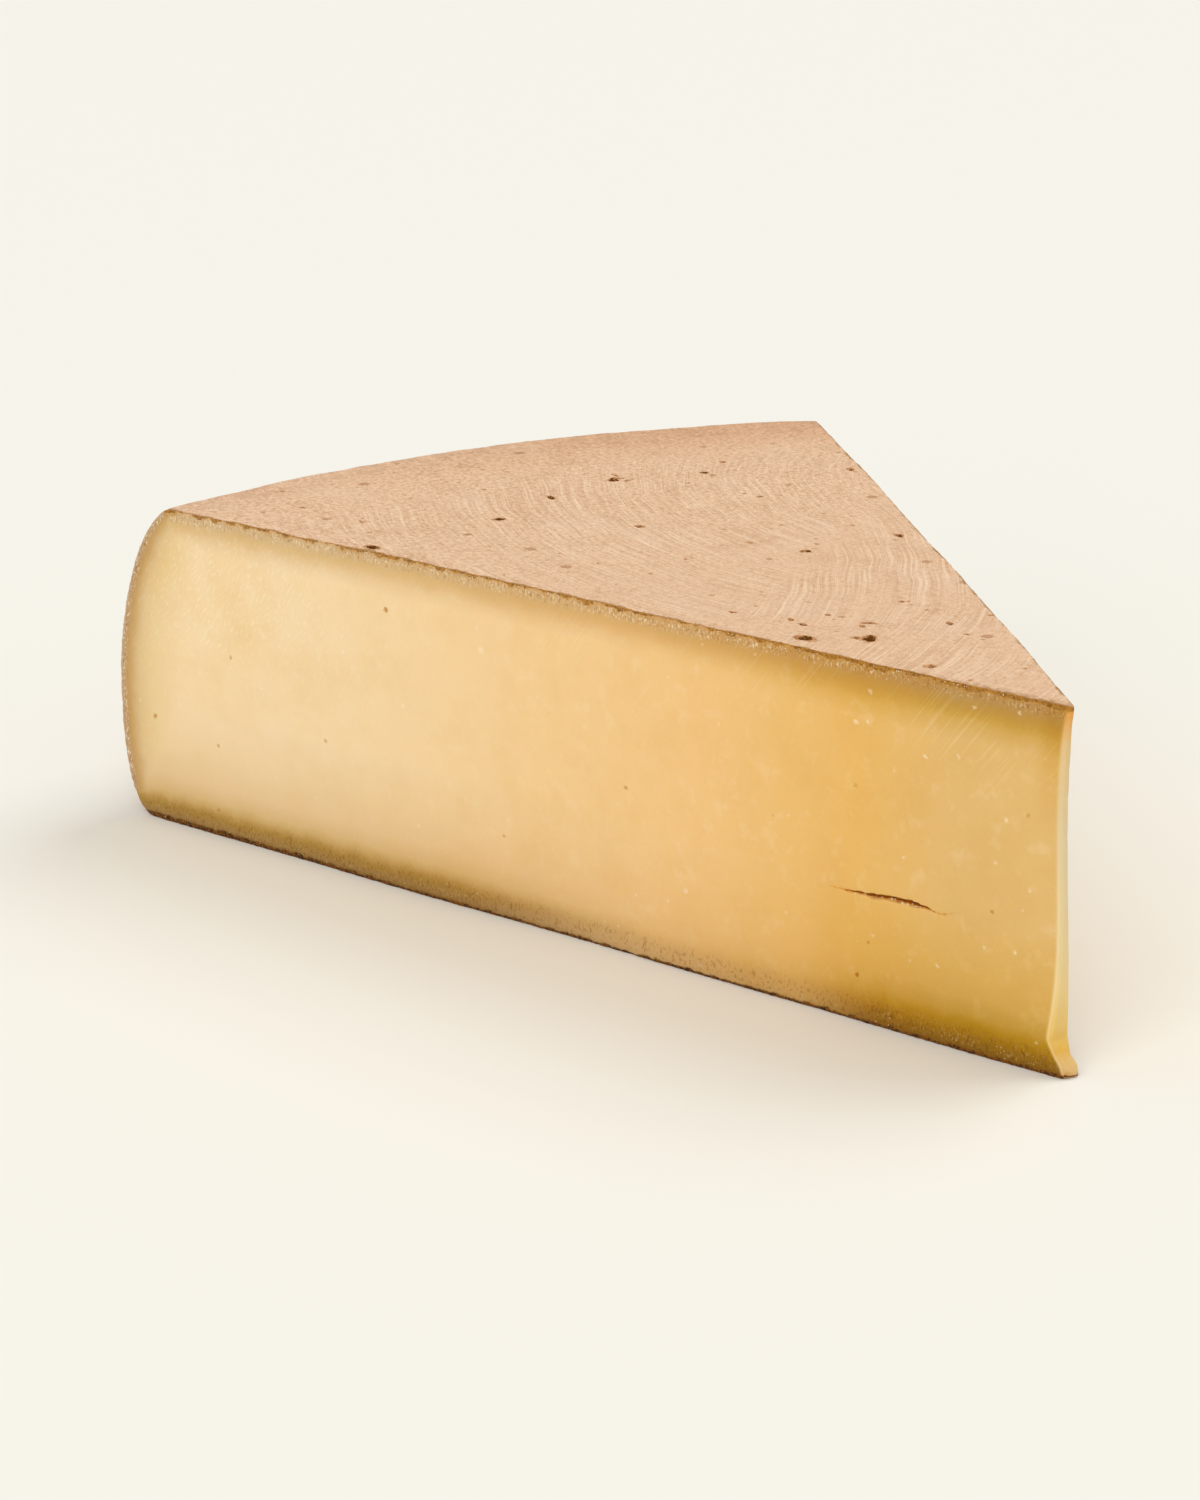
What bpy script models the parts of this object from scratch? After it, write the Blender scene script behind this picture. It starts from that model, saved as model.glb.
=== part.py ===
"""A wedge of hard mountain cheese with its rind on, cut from a round wheel.

Metres, +Z up. The wedge rests on its flat underside, and the origin is the centre of its footprint.
The blunt tip points along +X, the rind heel along -X, and the two knife cuts leave the tip on either
side of the X axis: the front cut on the -Y side, the back cut on the +Y side.
"""

from math import atan2, cos, exp, hypot, pi, radians, sin
from random import Random

import bmesh
import bpy
from mathutils import Matrix, Vector, noise

MM = 0.001

# Driving dimensions of the wheel and of the cut
HEIGHT = 96 * MM  # underside to top rind
SECTOR = radians(44.3)  # between the two knife cuts
HEEL_RADIUS = 322.3 * MM  # wheel's axis to the fullest part of the heel
HEEL_LEVEL = 37 * MM  # height of that fullest part
AXIS_X, AXIS_Y = 159.77 * MM, -0.94 * MM  # where the wheel's axis stands

# The heel draws in above and below its fullest part, and rounds over at the two rims
TOP_TAPER, TOP_ROUNDING = 15 * MM, 6 * MM
FOOT_TAPER, FOOT_ROUNDING = 7.5 * MM, 3.5 * MM

# The back cut strays outwards below this level, and carries the tip's edge with it
BACK_STRAY, BACK_STRAY_TOP, BACK_STRAY_CURVE = 3.6 * MM, 72 * MM, 1.3

# The tip is blunt: its width at the top rind, over most of its height, and where it is widest
TIP_TOP_WIDTH, TIP_WIDTH, TIP_LOW_WIDTH = 3.8 * MM, 2.7 * MM, 5.8 * MM
TIP_TOP_REACH, TIP_LOW_LEVEL, TIP_LOW_REACH = 9 * MM, 11 * MM, 12 * MM

# A flap of rind stands out from the foot of the tip
FLAP, FLAP_LEVEL, FLAP_HEIGHT = 3.4 * MM, 1.6 * MM, 3.2 * MM
FLAP_REACH = 9 * MM  # how far along the cuts it fades out

# Unevenness of the rind and of the knife's path
RIND_WAVE, RIND_WAVE_LENGTH = 0.5 * MM, 45 * MM
RIND_LUMP, RIND_LUMP_LENGTH = 0.16 * MM, 11 * MM
KNIFE_WAVE, KNIFE_WAVE_LENGTH = 0.5 * MM, 60 * MM
KNIFE_WAVE_START = 30 * MM  # the wavering grows to its full size over this distance from the tip
TIP_DIP, TIP_DIP_REACH = 0.4 * MM, 9 * MM
RIM_DIP, RIM_DIP_REACH = 0.7 * MM, 14 * MM

# Cells of the shell: from tip to heel, across the sector, and up
CELLS_OUT, CELLS_ACROSS, CELLS_UP = 46, 26, 16
END_CROWDING = 0.08  # how much closer the cells stand towards tip and heel

# The split in the front cut: its middle, length, opening and depth, and how it bows and tilts
SPLIT_RADIUS, SPLIT_LEVEL = 52 * MM, 35.2 * MM
SPLIT_LENGTH, SPLIT_OPENING, SPLIT_DEPTH = 25 * MM, 1.5 * MM, 9 * MM
SPLIT_BOW, SPLIT_TILT = 0.8 * MM, radians(-2.5)

# Pits in the top rind: distance back from the wheel's axis, offset to +Y, length, width, depth
PITS = (
    (78.8, -25.0, 5.4, 3.4, 3.2),
    (70.5, -11.3, 5.0, 3.6, 3.0),
    (82.0, -3.5, 3.6, 2.2, 1.3),
    (89.5, -18.4, 3.4, 2.0, 1.2),
    (243.5, 15.0, 4.8, 3.4, 2.6),
    (238.0, 43.5, 3.0, 2.4, 1.8),
    (221.0, -35.5, 3.6, 2.6, 2.2),
    (235.0, -10.8, 3.4, 2.2, 1.8),
    (148.0, 20.8, 3.6, 2.4, 1.8),
    (149.0, 53.0, 3.4, 2.8, 1.4),
    (208.8, -81.6, 4.6, 3.4, 2.4),
    (71.0, 14.0, 3.2, 2.0, 1.3),
)
PIT_LUMPS = 0.35  # share by which a pit's wall is uneven
PIT_LUMP_PITCH = 1.6  # how close those lumps stand, in blobs of radius 1
PIT_RAISE = 0.25  # share of its depth by which a pit's middle stands above the rind
PIT_TURN = pi / 5  # how far a pit may be turned either way

CHEESE_COLOUR = (0.83, 0.62, 0.33, 1.0)
CHEESE_ROUGHNESS = 0.5


def clear_scene():
    for old in list(bpy.data.objects):
        bpy.data.objects.remove(old)


def smooth(share):
    """0 below 0, 1 above 1, and an even S between them."""
    share = min(max(share, 0.0), 1.0)
    return share * share * (3 - 2 * share)


def wave(x, y, z, size, length):
    """A smooth unevenness of that height, with bumps that far apart."""
    return size * noise.noise(Vector((x, y, z)) / length)


def heel_radius(z):
    """Distance from the wheel's axis to the heel's rind at height z."""
    if z > HEEL_LEVEL:
        share = (z - HEEL_LEVEL) / (HEIGHT - HEEL_LEVEL)
        return HEEL_RADIUS - TOP_TAPER * share**2 - TOP_ROUNDING * share**9
    share = (HEEL_LEVEL - z) / HEEL_LEVEL
    return HEEL_RADIUS - FOOT_TAPER * share**3 - FOOT_ROUNDING * share**20


def back_stray(z):
    """How far the back cut lies outside its upright plane at height z."""
    return BACK_STRAY * max((BACK_STRAY_TOP - z) / BACK_STRAY_TOP, 0.0) ** BACK_STRAY_CURVE


def tip_width(z):
    """Width of the blunt tip at height z."""
    top = (TIP_TOP_WIDTH - TIP_WIDTH) * exp((z - HEIGHT) / TIP_TOP_REACH)
    low = (TIP_LOW_WIDTH - TIP_WIDTH) * exp(-(((z - TIP_LOW_LEVEL) / TIP_LOW_REACH) ** 2))
    return TIP_WIDTH + top + low


def flap_reach(z):
    """How far the flap at the foot of the tip stands out at height z."""
    return FLAP * exp(-(((z - FLAP_LEVEL) / FLAP_HEIGHT) ** 2))


def upright_edges(z):
    """The upright edges at height z, from the wheel's axis: front tip, back tip, front heel, back heel.

    The two cuts would meet on the axis, or a little past it where the back cut strays.
    """
    half = SECTOR / 2
    front = Vector((-cos(half), -sin(half), 0))
    back = Vector((-cos(half), sin(half), 0))
    meeting = -front * back_stray(z) / sin(SECTOR)
    stop = tip_width(z) / (2 * sin(half))
    radius = heel_radius(z)
    strayed = half + back_stray(z) / radius
    back_heel = Vector((-cos(strayed), sin(strayed), 0)) * radius
    return meeting + front * stop, meeting + back * stop, front * radius, back_heel


def rind_rise(x, y):
    """How far the top rind stands above its level, at a place measured from the wheel's axis."""
    radius = hypot(x, y)
    broad = wave(x, y, 0.0, RIND_WAVE, RIND_WAVE_LENGTH)
    lumps = wave(x, y, 1.0, RIND_LUMP, RIND_LUMP_LENGTH)
    tip = TIP_DIP * exp(-radius / TIP_DIP_REACH)
    rim = RIM_DIP * exp(-max(heel_radius(HEIGHT) - radius, 0.0) / RIM_DIP_REACH)
    return broad + lumps - tip - rim


def wedge_point(out, across, up):
    """The surface point at shares 0 to 1 from tip to heel, front cut to back cut and underside to top."""
    z = HEIGHT * (1 - cos(pi * up)) / 2
    eased = out - END_CROWDING * sin(2 * pi * out)
    front_tip, back_tip, front_heel, back_heel = upright_edges(z)
    tip = front_tip.lerp(back_tip, across)
    heel = front_heel.lerp(back_heel, across)
    point = tip.lerp(heel, eased)
    bow = (heel_radius(z) ** 2 - heel.y**2) ** 0.5 + heel.x
    point.x -= bow * eased
    from_tip = (point - tip).length
    point.x += flap_reach(z) * exp(-((from_tip / FLAP_REACH) ** 2))
    if across in (0, 1):
        side = 2 * across - 1
        square = Vector((sin(SECTOR / 2), side * cos(SECTOR / 2), 0))
        waver = wave(point.length, z, 3.0 + across, KNIFE_WAVE, KNIFE_WAVE_LENGTH)
        point += square * waver * smooth(from_tip / KNIFE_WAVE_START)
    if out == 1:
        outwards = Vector((point.x, point.y, 0)).normalized()
        point += outwards * wave(heel.y, z, 7.0, RIND_WAVE, RIND_WAVE_LENGTH)
    point.z = z
    if up == 1:
        point.z += rind_rise(point.x, point.y)
    return point + Vector((AXIS_X, AXIS_Y, 0))


def add_grid(mesh, rows, columns, place):
    """A sheet of cells whose points are place(row share, column share)."""
    points = [
        [mesh.verts.new(place(row / rows, column / columns)) for column in range(columns + 1)]
        for row in range(rows + 1)
    ]
    faces = []
    for row in range(rows):
        for column in range(columns):
            ring = (
                points[row][column],
                points[row][column + 1],
                points[row + 1][column + 1],
                points[row + 1][column],
            )
            faces.append(mesh.faces.new(ring))
    return faces


def wedge_mesh():
    """The closed shell of the wedge, with its flat underside as one face."""
    mesh = bmesh.new()
    add_grid(mesh, CELLS_OUT, CELLS_ACROSS, lambda out, across: wedge_point(out, across, 1))
    for cut in (0, 1):
        add_grid(mesh, CELLS_OUT, CELLS_UP, lambda out, up, cut=cut: wedge_point(out, cut, up))
    for end in (0, 1):
        add_grid(mesh, CELLS_ACROSS, CELLS_UP, lambda across, up, end=end: wedge_point(end, across, up))
    under = add_grid(mesh, CELLS_OUT, CELLS_ACROSS, lambda out, across: wedge_point(out, across, 0))
    bmesh.ops.dissolve_faces(mesh, faces=under, use_verts=False)
    bmesh.ops.remove_doubles(mesh, verts=mesh.verts, dist=0.01 * MM)
    bmesh.ops.recalc_face_normals(mesh, faces=mesh.faces)
    return mesh


def add_object(name, mesh):
    data = bpy.data.meshes.new(name)
    mesh.to_mesh(data)
    mesh.free()
    made = bpy.data.objects.new(name, data)
    bpy.context.scene.collection.objects.link(made)
    return made


def add_pit(mesh, place, sizes, draw):
    """A lumpy closed blob around a place on the rind."""
    length, width, depth = sizes
    turn = Matrix.Rotation(draw.uniform(-PIT_TURN, PIT_TURN), 4, "Z")
    blob = bmesh.ops.create_icosphere(mesh, subdivisions=2, radius=1)["verts"]
    seed = draw.uniform(0, 90)
    for vert in blob:
        lump = 1 + PIT_LUMPS * noise.noise(vert.co * PIT_LUMP_PITCH + Vector((seed, 0, 0)))
        vert.co = Vector((vert.co.x * length / 2, vert.co.y * width / 2, vert.co.z * depth)) * lump
    bmesh.ops.transform(mesh, matrix=Matrix.Translation(place) @ turn, verts=blob)


def pit_cutter():
    """Every pit of the top rind as one cutter."""
    draw = Random(4)
    mesh = bmesh.new()
    for back, aside, length, width, depth in PITS:
        x, y = -back * MM, aside * MM
        level = HEIGHT + rind_rise(x, y) + PIT_RAISE * depth * MM
        place = Vector((x + AXIS_X, y + AXIS_Y, level))
        add_pit(mesh, place, (length * MM, width * MM, depth * MM), draw)
    return add_object("pit_cutter", mesh)


def split_cutter():
    """The thin bowed lens that opens the split in the front cut."""
    mesh = bmesh.new()
    lens = bmesh.ops.create_uvsphere(mesh, u_segments=20, v_segments=8, radius=1)["verts"]
    for vert in lens:
        along, inward, thick = vert.co
        level = thick * SPLIT_OPENING / 2 + SPLIT_BOW * (along * along - 0.5)
        vert.co = Vector((along * SPLIT_LENGTH / 2, inward * SPLIT_DEPTH, level))
    angle = -SECTOR / 2
    x = AXIS_X - SPLIT_RADIUS * cos(angle)
    y = AXIS_Y + SPLIT_RADIUS * sin(angle)
    place = Vector((x, y, SPLIT_LEVEL))
    facing = Matrix.Rotation(atan2(-sin(angle), cos(angle)), 4, "Z")
    tilt = Matrix.Rotation(SPLIT_TILT, 4, "Y")
    bmesh.ops.transform(mesh, matrix=Matrix.Translation(place) @ facing @ tilt, verts=lens)
    return add_object("split_cutter", mesh)


def carve(body, cutter):
    """Takes the cutter's shape out of the body and hides the cutter."""
    cutter.hide_render = True
    cutter.display_type = "WIRE"
    modifier = body.modifiers.new(cutter.name, "BOOLEAN")
    modifier.operation = "DIFFERENCE"
    modifier.object = cutter


def cheese_material():
    material = bpy.data.materials.new("pressed_cheese")
    material.use_nodes = True
    shader = material.node_tree.nodes["Principled BSDF"]
    shader.inputs["Base Color"].default_value = CHEESE_COLOUR
    shader.inputs["Roughness"].default_value = CHEESE_ROUGHNESS
    shader.inputs["Metallic"].default_value = 0.0
    return material


def main():
    clear_scene()
    wedge = add_object("cheese_wedge", wedge_mesh())
    wedge.data.materials.append(cheese_material())
    carve(wedge, pit_cutter())
    carve(wedge, split_cutter())


main()
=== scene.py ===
"""Looks of a wedge of hard mountain cheese with its rind on.

Metres, +Z up. The blunt tip points along +X, the rind heel along -X, and the front cut faces -Y. Lengths
inside the shaping functions and the materials are millimetres measured from the wheel's axis.
"""

from math import pi, radians

import bpy
import numpy as np
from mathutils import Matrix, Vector, noise


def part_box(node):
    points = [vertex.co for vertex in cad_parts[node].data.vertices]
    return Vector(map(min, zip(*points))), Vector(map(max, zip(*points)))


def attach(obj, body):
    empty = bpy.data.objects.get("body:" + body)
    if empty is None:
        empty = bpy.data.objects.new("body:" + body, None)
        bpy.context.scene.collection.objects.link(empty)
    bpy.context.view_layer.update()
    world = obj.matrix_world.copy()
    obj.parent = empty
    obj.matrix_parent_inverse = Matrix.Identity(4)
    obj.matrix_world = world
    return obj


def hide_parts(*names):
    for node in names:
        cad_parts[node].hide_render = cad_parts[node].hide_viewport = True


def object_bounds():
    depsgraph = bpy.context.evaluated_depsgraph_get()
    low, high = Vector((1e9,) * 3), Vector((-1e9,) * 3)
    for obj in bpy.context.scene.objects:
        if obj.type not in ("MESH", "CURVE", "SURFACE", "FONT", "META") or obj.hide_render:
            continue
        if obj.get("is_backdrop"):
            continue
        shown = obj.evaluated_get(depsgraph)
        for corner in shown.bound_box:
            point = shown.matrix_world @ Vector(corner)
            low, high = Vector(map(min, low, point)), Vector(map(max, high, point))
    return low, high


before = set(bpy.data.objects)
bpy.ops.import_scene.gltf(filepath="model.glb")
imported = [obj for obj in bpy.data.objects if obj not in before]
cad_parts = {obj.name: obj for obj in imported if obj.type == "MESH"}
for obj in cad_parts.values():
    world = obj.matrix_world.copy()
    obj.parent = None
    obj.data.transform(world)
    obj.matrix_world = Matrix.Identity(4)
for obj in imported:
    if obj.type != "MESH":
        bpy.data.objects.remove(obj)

bl_info = {
    "name": "Cheese wedge",
    "version": (1, 0, 0),
    "blender": (4, 5, 0),
    "location": "3D View > Sidebar > Cheese",
    "description": "Builds a wedge of hard cheese with its rind, its crust crumbs and a plain studio",
    "category": "Add Mesh",
}

MM = 0.001
NODE = "cheese_wedge"
CAD_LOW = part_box(NODE)[0]
CAD_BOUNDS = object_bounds()

# The heel draws in above and below its fullest part, and rounds over at the two rims, in mm
HEEL_LEVEL = 37.0
TOP_TAPER, TOP_ROUNDING = 15.0, 6.0
FOOT_TAPER, FOOT_ROUNDING = 7.5, 3.5

# The back cut strays outwards below this level
BACK_STRAY, BACK_STRAY_TOP, BACK_STRAY_CURVE = 3.6, 72.0, 1.3

# The tip is blunt: its width at the top rind, over most of its height, and where it is widest
TIP_TOP_WIDTH, TIP_WIDTH, TIP_LOW_WIDTH = 0.9, 2.3, 5.6
TIP_TOP_REACH, TIP_LOW_LEVEL = 6.0, 9.5
TIP_LOW_ABOVE, TIP_LOW_BELOW, TIP_LOW_CURVE = 15.0, 6.5, 1.3
TIP_BLUNT = 3.6  # where the spun section starts, from the axis

# A nub of rind stands out from the foot of the tip, most on the back cut's side
FLAP_OUT, FLAP_ASIDE, FLAP_FRONT = 1.0, 1.1, 0.35
FLAP_LEVEL, FLAP_HEIGHT, FLAP_REACH, FLAP_ROUND = 1.6, 2.9, 9.0, 1.7

# Unevenness of the rind and of the knife's path: height and length of the waves
RIND_WAVE, RIND_WAVE_LENGTH = 0.5, 45.0
RIND_LUMP, RIND_LUMP_LENGTH = 0.16, 11.0
KNIFE_WAVE, KNIFE_WAVE_LENGTH, KNIFE_WAVE_START = 0.5, 60.0, 30.0
RIND_SEED, FRONT_SEED, BACK_SEED, HEEL_SEED = 1000.0, 3000.0, 4000.0, 7000.0  # where each wave is read
TIP_DIP, TIP_DIP_REACH = 0.4, 9.0
RIM_DIP, RIM_DIP_REACH = 0.1, 14.0
BACK_TURN, BACK_TURN_START = 0.0125, 125.0  # the back cut turns inwards by this slope from here on
CREST, CREST_AT, CREST_REACH = 0.8, 215.0, 75.0  # the front rim of the top rind stands up here
TOP_FADE, CUT_FADE, HEEL_FADE = 12.0, 12.0, 14.0  # how deep the waves of each face reach
CREST_FADE, TURN_FADE = 40.0, 60.0

# Pits in the top rind: back from the axis, offset to +Y, length, width, depth and turn in degrees
PITS = (
    (78.8, -25.0, 5.4, 3.4, 2.6, 20),
    (70.5, -11.3, 5.0, 3.4, 2.4, -35),
    (72.8, -13.6, 2.6, 1.8, 1.2, 10),
    (82.0, -3.5, 3.4, 1.6, 1.1, 50),
    (80.6, -6.4, 2.2, 1.5, 0.9, 0),
    (89.5, -18.4, 3.2, 1.6, 1.0, 10),
    (95.0, -18.8, 2.8, 1.4, 0.9, -15),
    (94.0, -8.0, 2.2, 1.4, 0.9, 0),
    (243.5, 15.0, 3.0, 2.8, 2.2, 0),
    (244.6, 17.2, 4.2, 1.4, 1.3, 70),
    (248.0, 18.6, 3.2, 1.2, 0.9, 10),
    (241.2, 19.0, 4.4, 1.2, 0.9, -70),
    (238.0, 43.5, 2.4, 2.2, 1.7, 0),
    (247.0, 56.0, 2.4, 1.6, 1.0, 30),
    (235.0, -10.8, 3.4, 1.8, 1.6, -15),
    (221.0, -35.5, 3.0, 2.4, 1.9, 60),
    (208.8, -81.6, 4.6, 3.0, 2.0, 10),
    (219.0, 85.0, 3.6, 2.0, 1.2, -20),
    (205.5, 43.0, 2.2, 1.6, 1.0, 60),
    (211.0, 41.0, 1.6, 1.2, 0.8, 0),
    (149.0, 53.0, 3.4, 2.4, 1.2, 0),
    (148.0, 20.8, 2.8, 2.4, 1.5, 20),
    (153.0, 28.0, 1.6, 1.2, 0.8, 0),
    (176.0, 31.0, 1.8, 1.2, 0.7, 0),
    (164.0, 12.5, 2.0, 1.2, 0.7, 20),
    (194.0, -5.0, 3.0, 2.0, 0.7, 20),
    (237.0, -71.0, 3.0, 1.4, 0.9, -30),
    (281.0, -75.0, 1.8, 1.3, 0.8, 0),
    (180.5, -38.5, 1.4, 1.2, 0.7, 0),
    (166.0, -34.5, 1.8, 1.1, 0.7, 0),
    (157.5, -12.0, 1.5, 1.1, 0.6, 0),
    (121.0, -11.0, 1.5, 1.1, 0.6, 0),
    (94.0, 15.0, 1.8, 1.3, 0.8, 0),
    (71.0, 14.0, 3.0, 1.5, 1.1, -15),
    (61.0, 12.0, 1.6, 1.3, 0.8, 0),
    (72.5, 28.0, 1.5, 1.2, 0.7, 0),
    (44.0, -11.0, 3.6, 2.4, 0.6, 70),
    (108.0, -28.0, 2.2, 1.5, 0.7, 0),
)
PIT_RAGGED, PIT_RAGGED_LENGTH = 0.42, 0.9  # how uneven a pit's outline is, and over which length
PIT_WALL = 0.4  # share of a pit's radius that its wall takes up
PIT_FLOOR, PIT_FADE = 0.5, 1.5  # how uneven a pit's floor is, and how far down its walls fade out
PIT_LIP_AT, PIT_LIP_WIDTH, PIT_LIP_RISE = 1.15, 0.2, 0.12  # the raised lip, in radii and share of the depth
PIT_SEEDED = 130  # small pits strewn over the rind besides, each width and depth between these
PIT_SEEDED_WIDTH, PIT_SEEDED_DEPTH = (0.5, 1.3), (0.15, 0.45)

# The split in the front cut: distance from the axis, height of its line and how far it gapes
SPLIT_AT = (28.5, 32.0, 35.0, 38.0, 41.0, 46.0, 52.0, 58.0, 64.0, 70.5)
SPLIT_LEVELS = (36.8, 36.0, 34.9, 35.0, 35.6, 35.6, 35.3, 34.9, 34.5, 34.7)
SPLIT_GAPES = (0.0, 0.16, 0.2, 0.24, 0.7, 1.1, 1.05, 0.8, 0.35, 0.0)
SPLIT_DEPTH, SPLIT_WALL = 2.2, 0.35
SPLIT_LIP, SPLIT_CRUMBS, SPLIT_CRUMB_SIZE = (40.0, 62.0), 22, 1.6  # crumbs on the lower lip

# Eyes and nicks in the front cut: distance from the axis, height, width and how brown
EYES = (
    (217.0, 81.0, 1.5, 0.8),
    (277.0, 56.0, 1.2, 0.6),
    (308.5, 32.0, 1.6, 0.7),
    (283.0, 28.0, 1.2, 0.6),
    (284.0, 8.0, 1.2, 0.6),
    (62.0, 63.0, 1.3, 0.5),
    (21.0, 39.0, 1.2, 0.7),
    (57.0, 22.0, 1.1, 0.6),
    (60.0, 12.5, 1.2, 1.0),
    (12.0, 66.0, 1.1, 0.6),
    (134.0, 47.0, 1.3, 0.7),
    (176.0, 24.0, 1.2, 0.6),
    (241.0, 38.0, 1.3, 0.6),
)
BACK_EYES = 15  # as many strewn over the back cut, each value between these
BACK_EYE_RANGES = ((20, 300), (10, 86), (1.0, 1.6), (0.4, 0.9))

# Whitish curd specks in the front cut: distance from the axis, height and width
SPECKS = (
    (62.0, 80.0, 1.7),
    (58.6, 80.6, 0.9),
    (58.0, 88.6, 1.1),
    (41.4, 75.0, 1.0),
    (28.0, 90.5, 1.0),
    (32.0, 77.0, 0.9),
    (18.0, 63.5, 1.2),
    (15.5, 91.5, 0.9),
    (10.6, 47.0, 0.9),
    (20.5, 52.0, 1.0),
    (36.0, 21.0, 1.1),
    (14.0, 30.0, 0.9),
    (47.0, 47.5, 1.0),
    (233.0, 66.0, 1.0),
    (265.0, 49.0, 1.1),
)
EYE_DEPTH, SPECK_RISE = 0.3, 0.1
SPOT_REACH = 2.2  # how far from its middle an eye or speck changes the cut, in radii

# Rounding of the edges where two faces meet
CRUST_ROUND, RIM_ROUND, TIP_ROUND, FOOT_ROUND = 0.45, 1.0, 0.8, 0.7

# Torn line of the cut crust on the front cut and on the back one: height, and how deep and long it is
TORN, TORN_BACK, TORN_DEPTH, TORN_LENGTH = 0.28, 0.12, 1.1, 1.3

# Crumbs: the band under the rind that they lie in, how they thin out inwards, their clusters and size
CRUMB_BAND, CRUMB_FADE, CRUMB_CLUSTER, CRUMB_CLUSTER_LENGTH = (0.6, 3.6), 1.6, 3.5, 9.0
CRUMBS_AT_FOOT, CRUMB_FOOT = 0.3, 9.0  # as likely there as at the top, and how high the foot reaches
CRUMB_RADIUS, CRUMB_LUMPS, CRUMB_SQUASH = (0.1, 0.3), (0.7, 1.25), (0.6, 1.0)

# Grains of the cut crust and of the rind: height and length, the band of the first and where each is read
GRAIN, GRAIN_LENGTH = 0.13, 0.9
GRAIN_BAND = (0.6, 4.6)
RIND_GRAIN, RIND_GRAIN_LENGTH = 0.05, 1.4
TORN_SEED, GRAIN_SEED, RIND_GRAIN_SEED, CRUMB_SEED = 31.0, 57.0, 83.0, 17.0

# Longest mesh edges allowed, far from and near to what needs detail
EDGE_FAR, EDGE_NEAR, EDGE_GROWTH = 2.8, 0.75, 0.15
EDGE_UNDER, EDGE_UNDER_START = 14.0, 6.0  # on the underside, from this far inside its border
EDGE_PIT, EDGE_SPLIT = 0.42, 0.34
EDGE_PIT_GROWTH, EDGE_SPLIT_GROWTH, EDGE_SPOT_GROWTH = 0.3, 0.3, 0.4
EDGE_PIT_START, EDGE_SPOT_START = 0.62, 0.6  # share of the length or width from which the edges grow
SECTION_CELLS, SPIN_STEPS, REFINE_ROUNDS = (31, 9), 24, 9

# A point this close to a face lies on it, in mm: on a flat one, and on one whose planes waver
TINY, ON_FACE = 0.02, 0.16


def linear(hex_colour):
    """An sRGB hex colour as the linear values that Blender's colours hold."""
    shares = [int(hex_colour[place : place + 2], 16) / 255 for place in (1, 3, 5)]
    return tuple(s / 12.92 if s <= 0.04045 else ((s + 0.055) / 1.055) ** 2.4 for s in shares)


def colour_property(name, description, hex_colour):
    return bpy.props.FloatVectorProperty(
        name=name, description=description, subtype="COLOR", default=linear(hex_colour)
    )


class WedgeSizes(bpy.types.PropertyGroup):
    """Driving sizes of the wedge."""

    height: bpy.props.FloatProperty(
        name="Height", description="Underside to top rind", default=96 * MM, unit="LENGTH"
    )
    sector: bpy.props.FloatProperty(
        name="Sector",
        description="Angle between the two knife cuts",
        default=radians(44.3),
        subtype="ANGLE",
    )
    heel_radius: bpy.props.FloatProperty(
        name="Heel radius",
        description="Wheel's axis to the fullest part of the heel",
        default=322.3 * MM,
        unit="LENGTH",
    )
    crumbs: bpy.props.IntProperty(
        name="Crumbs", description="Crumbs that cling to the cut crust", default=900, min=1
    )
    seed: bpy.props.IntProperty(name="Seed", description="Picks another strewing", default=7)


class WedgeColours(bpy.types.PropertyGroup):
    """Colours of the paste and of the rind."""

    heel_paste: colour_property("Heel paste", "Paste near the heel, cream", "#F1D7AE")
    middle_paste: colour_property("Middle paste", "Paste half way, butter yellow", "#EEC588")
    # Golden paste: partly its own colour, partly painted shade and painted warm reflected light
    golden_paste_and_painted_light: colour_property("Golden paste", "Paste a fifth of the way from the tip", "#E6B869")
    tip_paste: colour_property("Tip paste", "Paste near the tip, paler", "#DFB876")
    rind: colour_property("Rind", "Dry brushed rind, pinkish tan", "#DFBA99")
    rind_dark: colour_property("Dark rind", "Brown mottling of the rind", "#BC8E68")
    # Inside of pits: partly their brown, partly painted shade
    pit: colour_property("Pit", "Inside of pits in the rind", "#704514")
    pit_edge: colour_property("Pit edge", "Crumbly surround of pits in the rind", "#B67A3C")


class StageSettings(bpy.types.PropertyGroup):
    """Camera, light and floor."""

    lens: bpy.props.FloatProperty(name="Lens", description="Focal length in mm", default=82.2, min=10)
    heading: bpy.props.FloatProperty(
        name="Heading", description="Turn of the camera about Z", default=radians(59.97), subtype="ANGLE"
    )
    pitch: bpy.props.FloatProperty(
        name="Pitch",
        description="Camera's tilt up from straight down",
        default=radians(71.385),
        subtype="ANGLE",
    )
    camera_from_axis: bpy.props.FloatVectorProperty(
        name="Camera", description="Camera from the wheel's axis", default=(0.6103, -0.4829, 0.3446)
    )
    floor: colour_property("Floor", "Plain pale floor", "#EDEBE4")


def settings():
    scene = bpy.context.scene
    return scene.cheese_sizes, scene.cheese_colours, scene.cheese_stage


def axis_place():
    """Where the wheel's axis stands, from the CAD box's low corner."""
    sizes = settings()[0]
    aside = sizes.heel_radius * np.sin(sizes.sector / 2)
    return Vector((CAD_LOW.x + sizes.heel_radius, CAD_LOW.y + aside, 0.0))


def smooth(share):
    """0 below 0, 1 above 1, and an even S between them."""
    share = np.clip(share, 0.0, 1.0)
    return share * share * (3 - 2 * share)


def wave(x, y, z, size, length):
    """A smooth unevenness of that height, with bumps that far apart, at each place."""
    places = np.stack(np.broadcast_arrays(x, y, z), axis=-1) / length
    return size * np.array([noise.noise(Vector(place)) for place in places])


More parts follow.
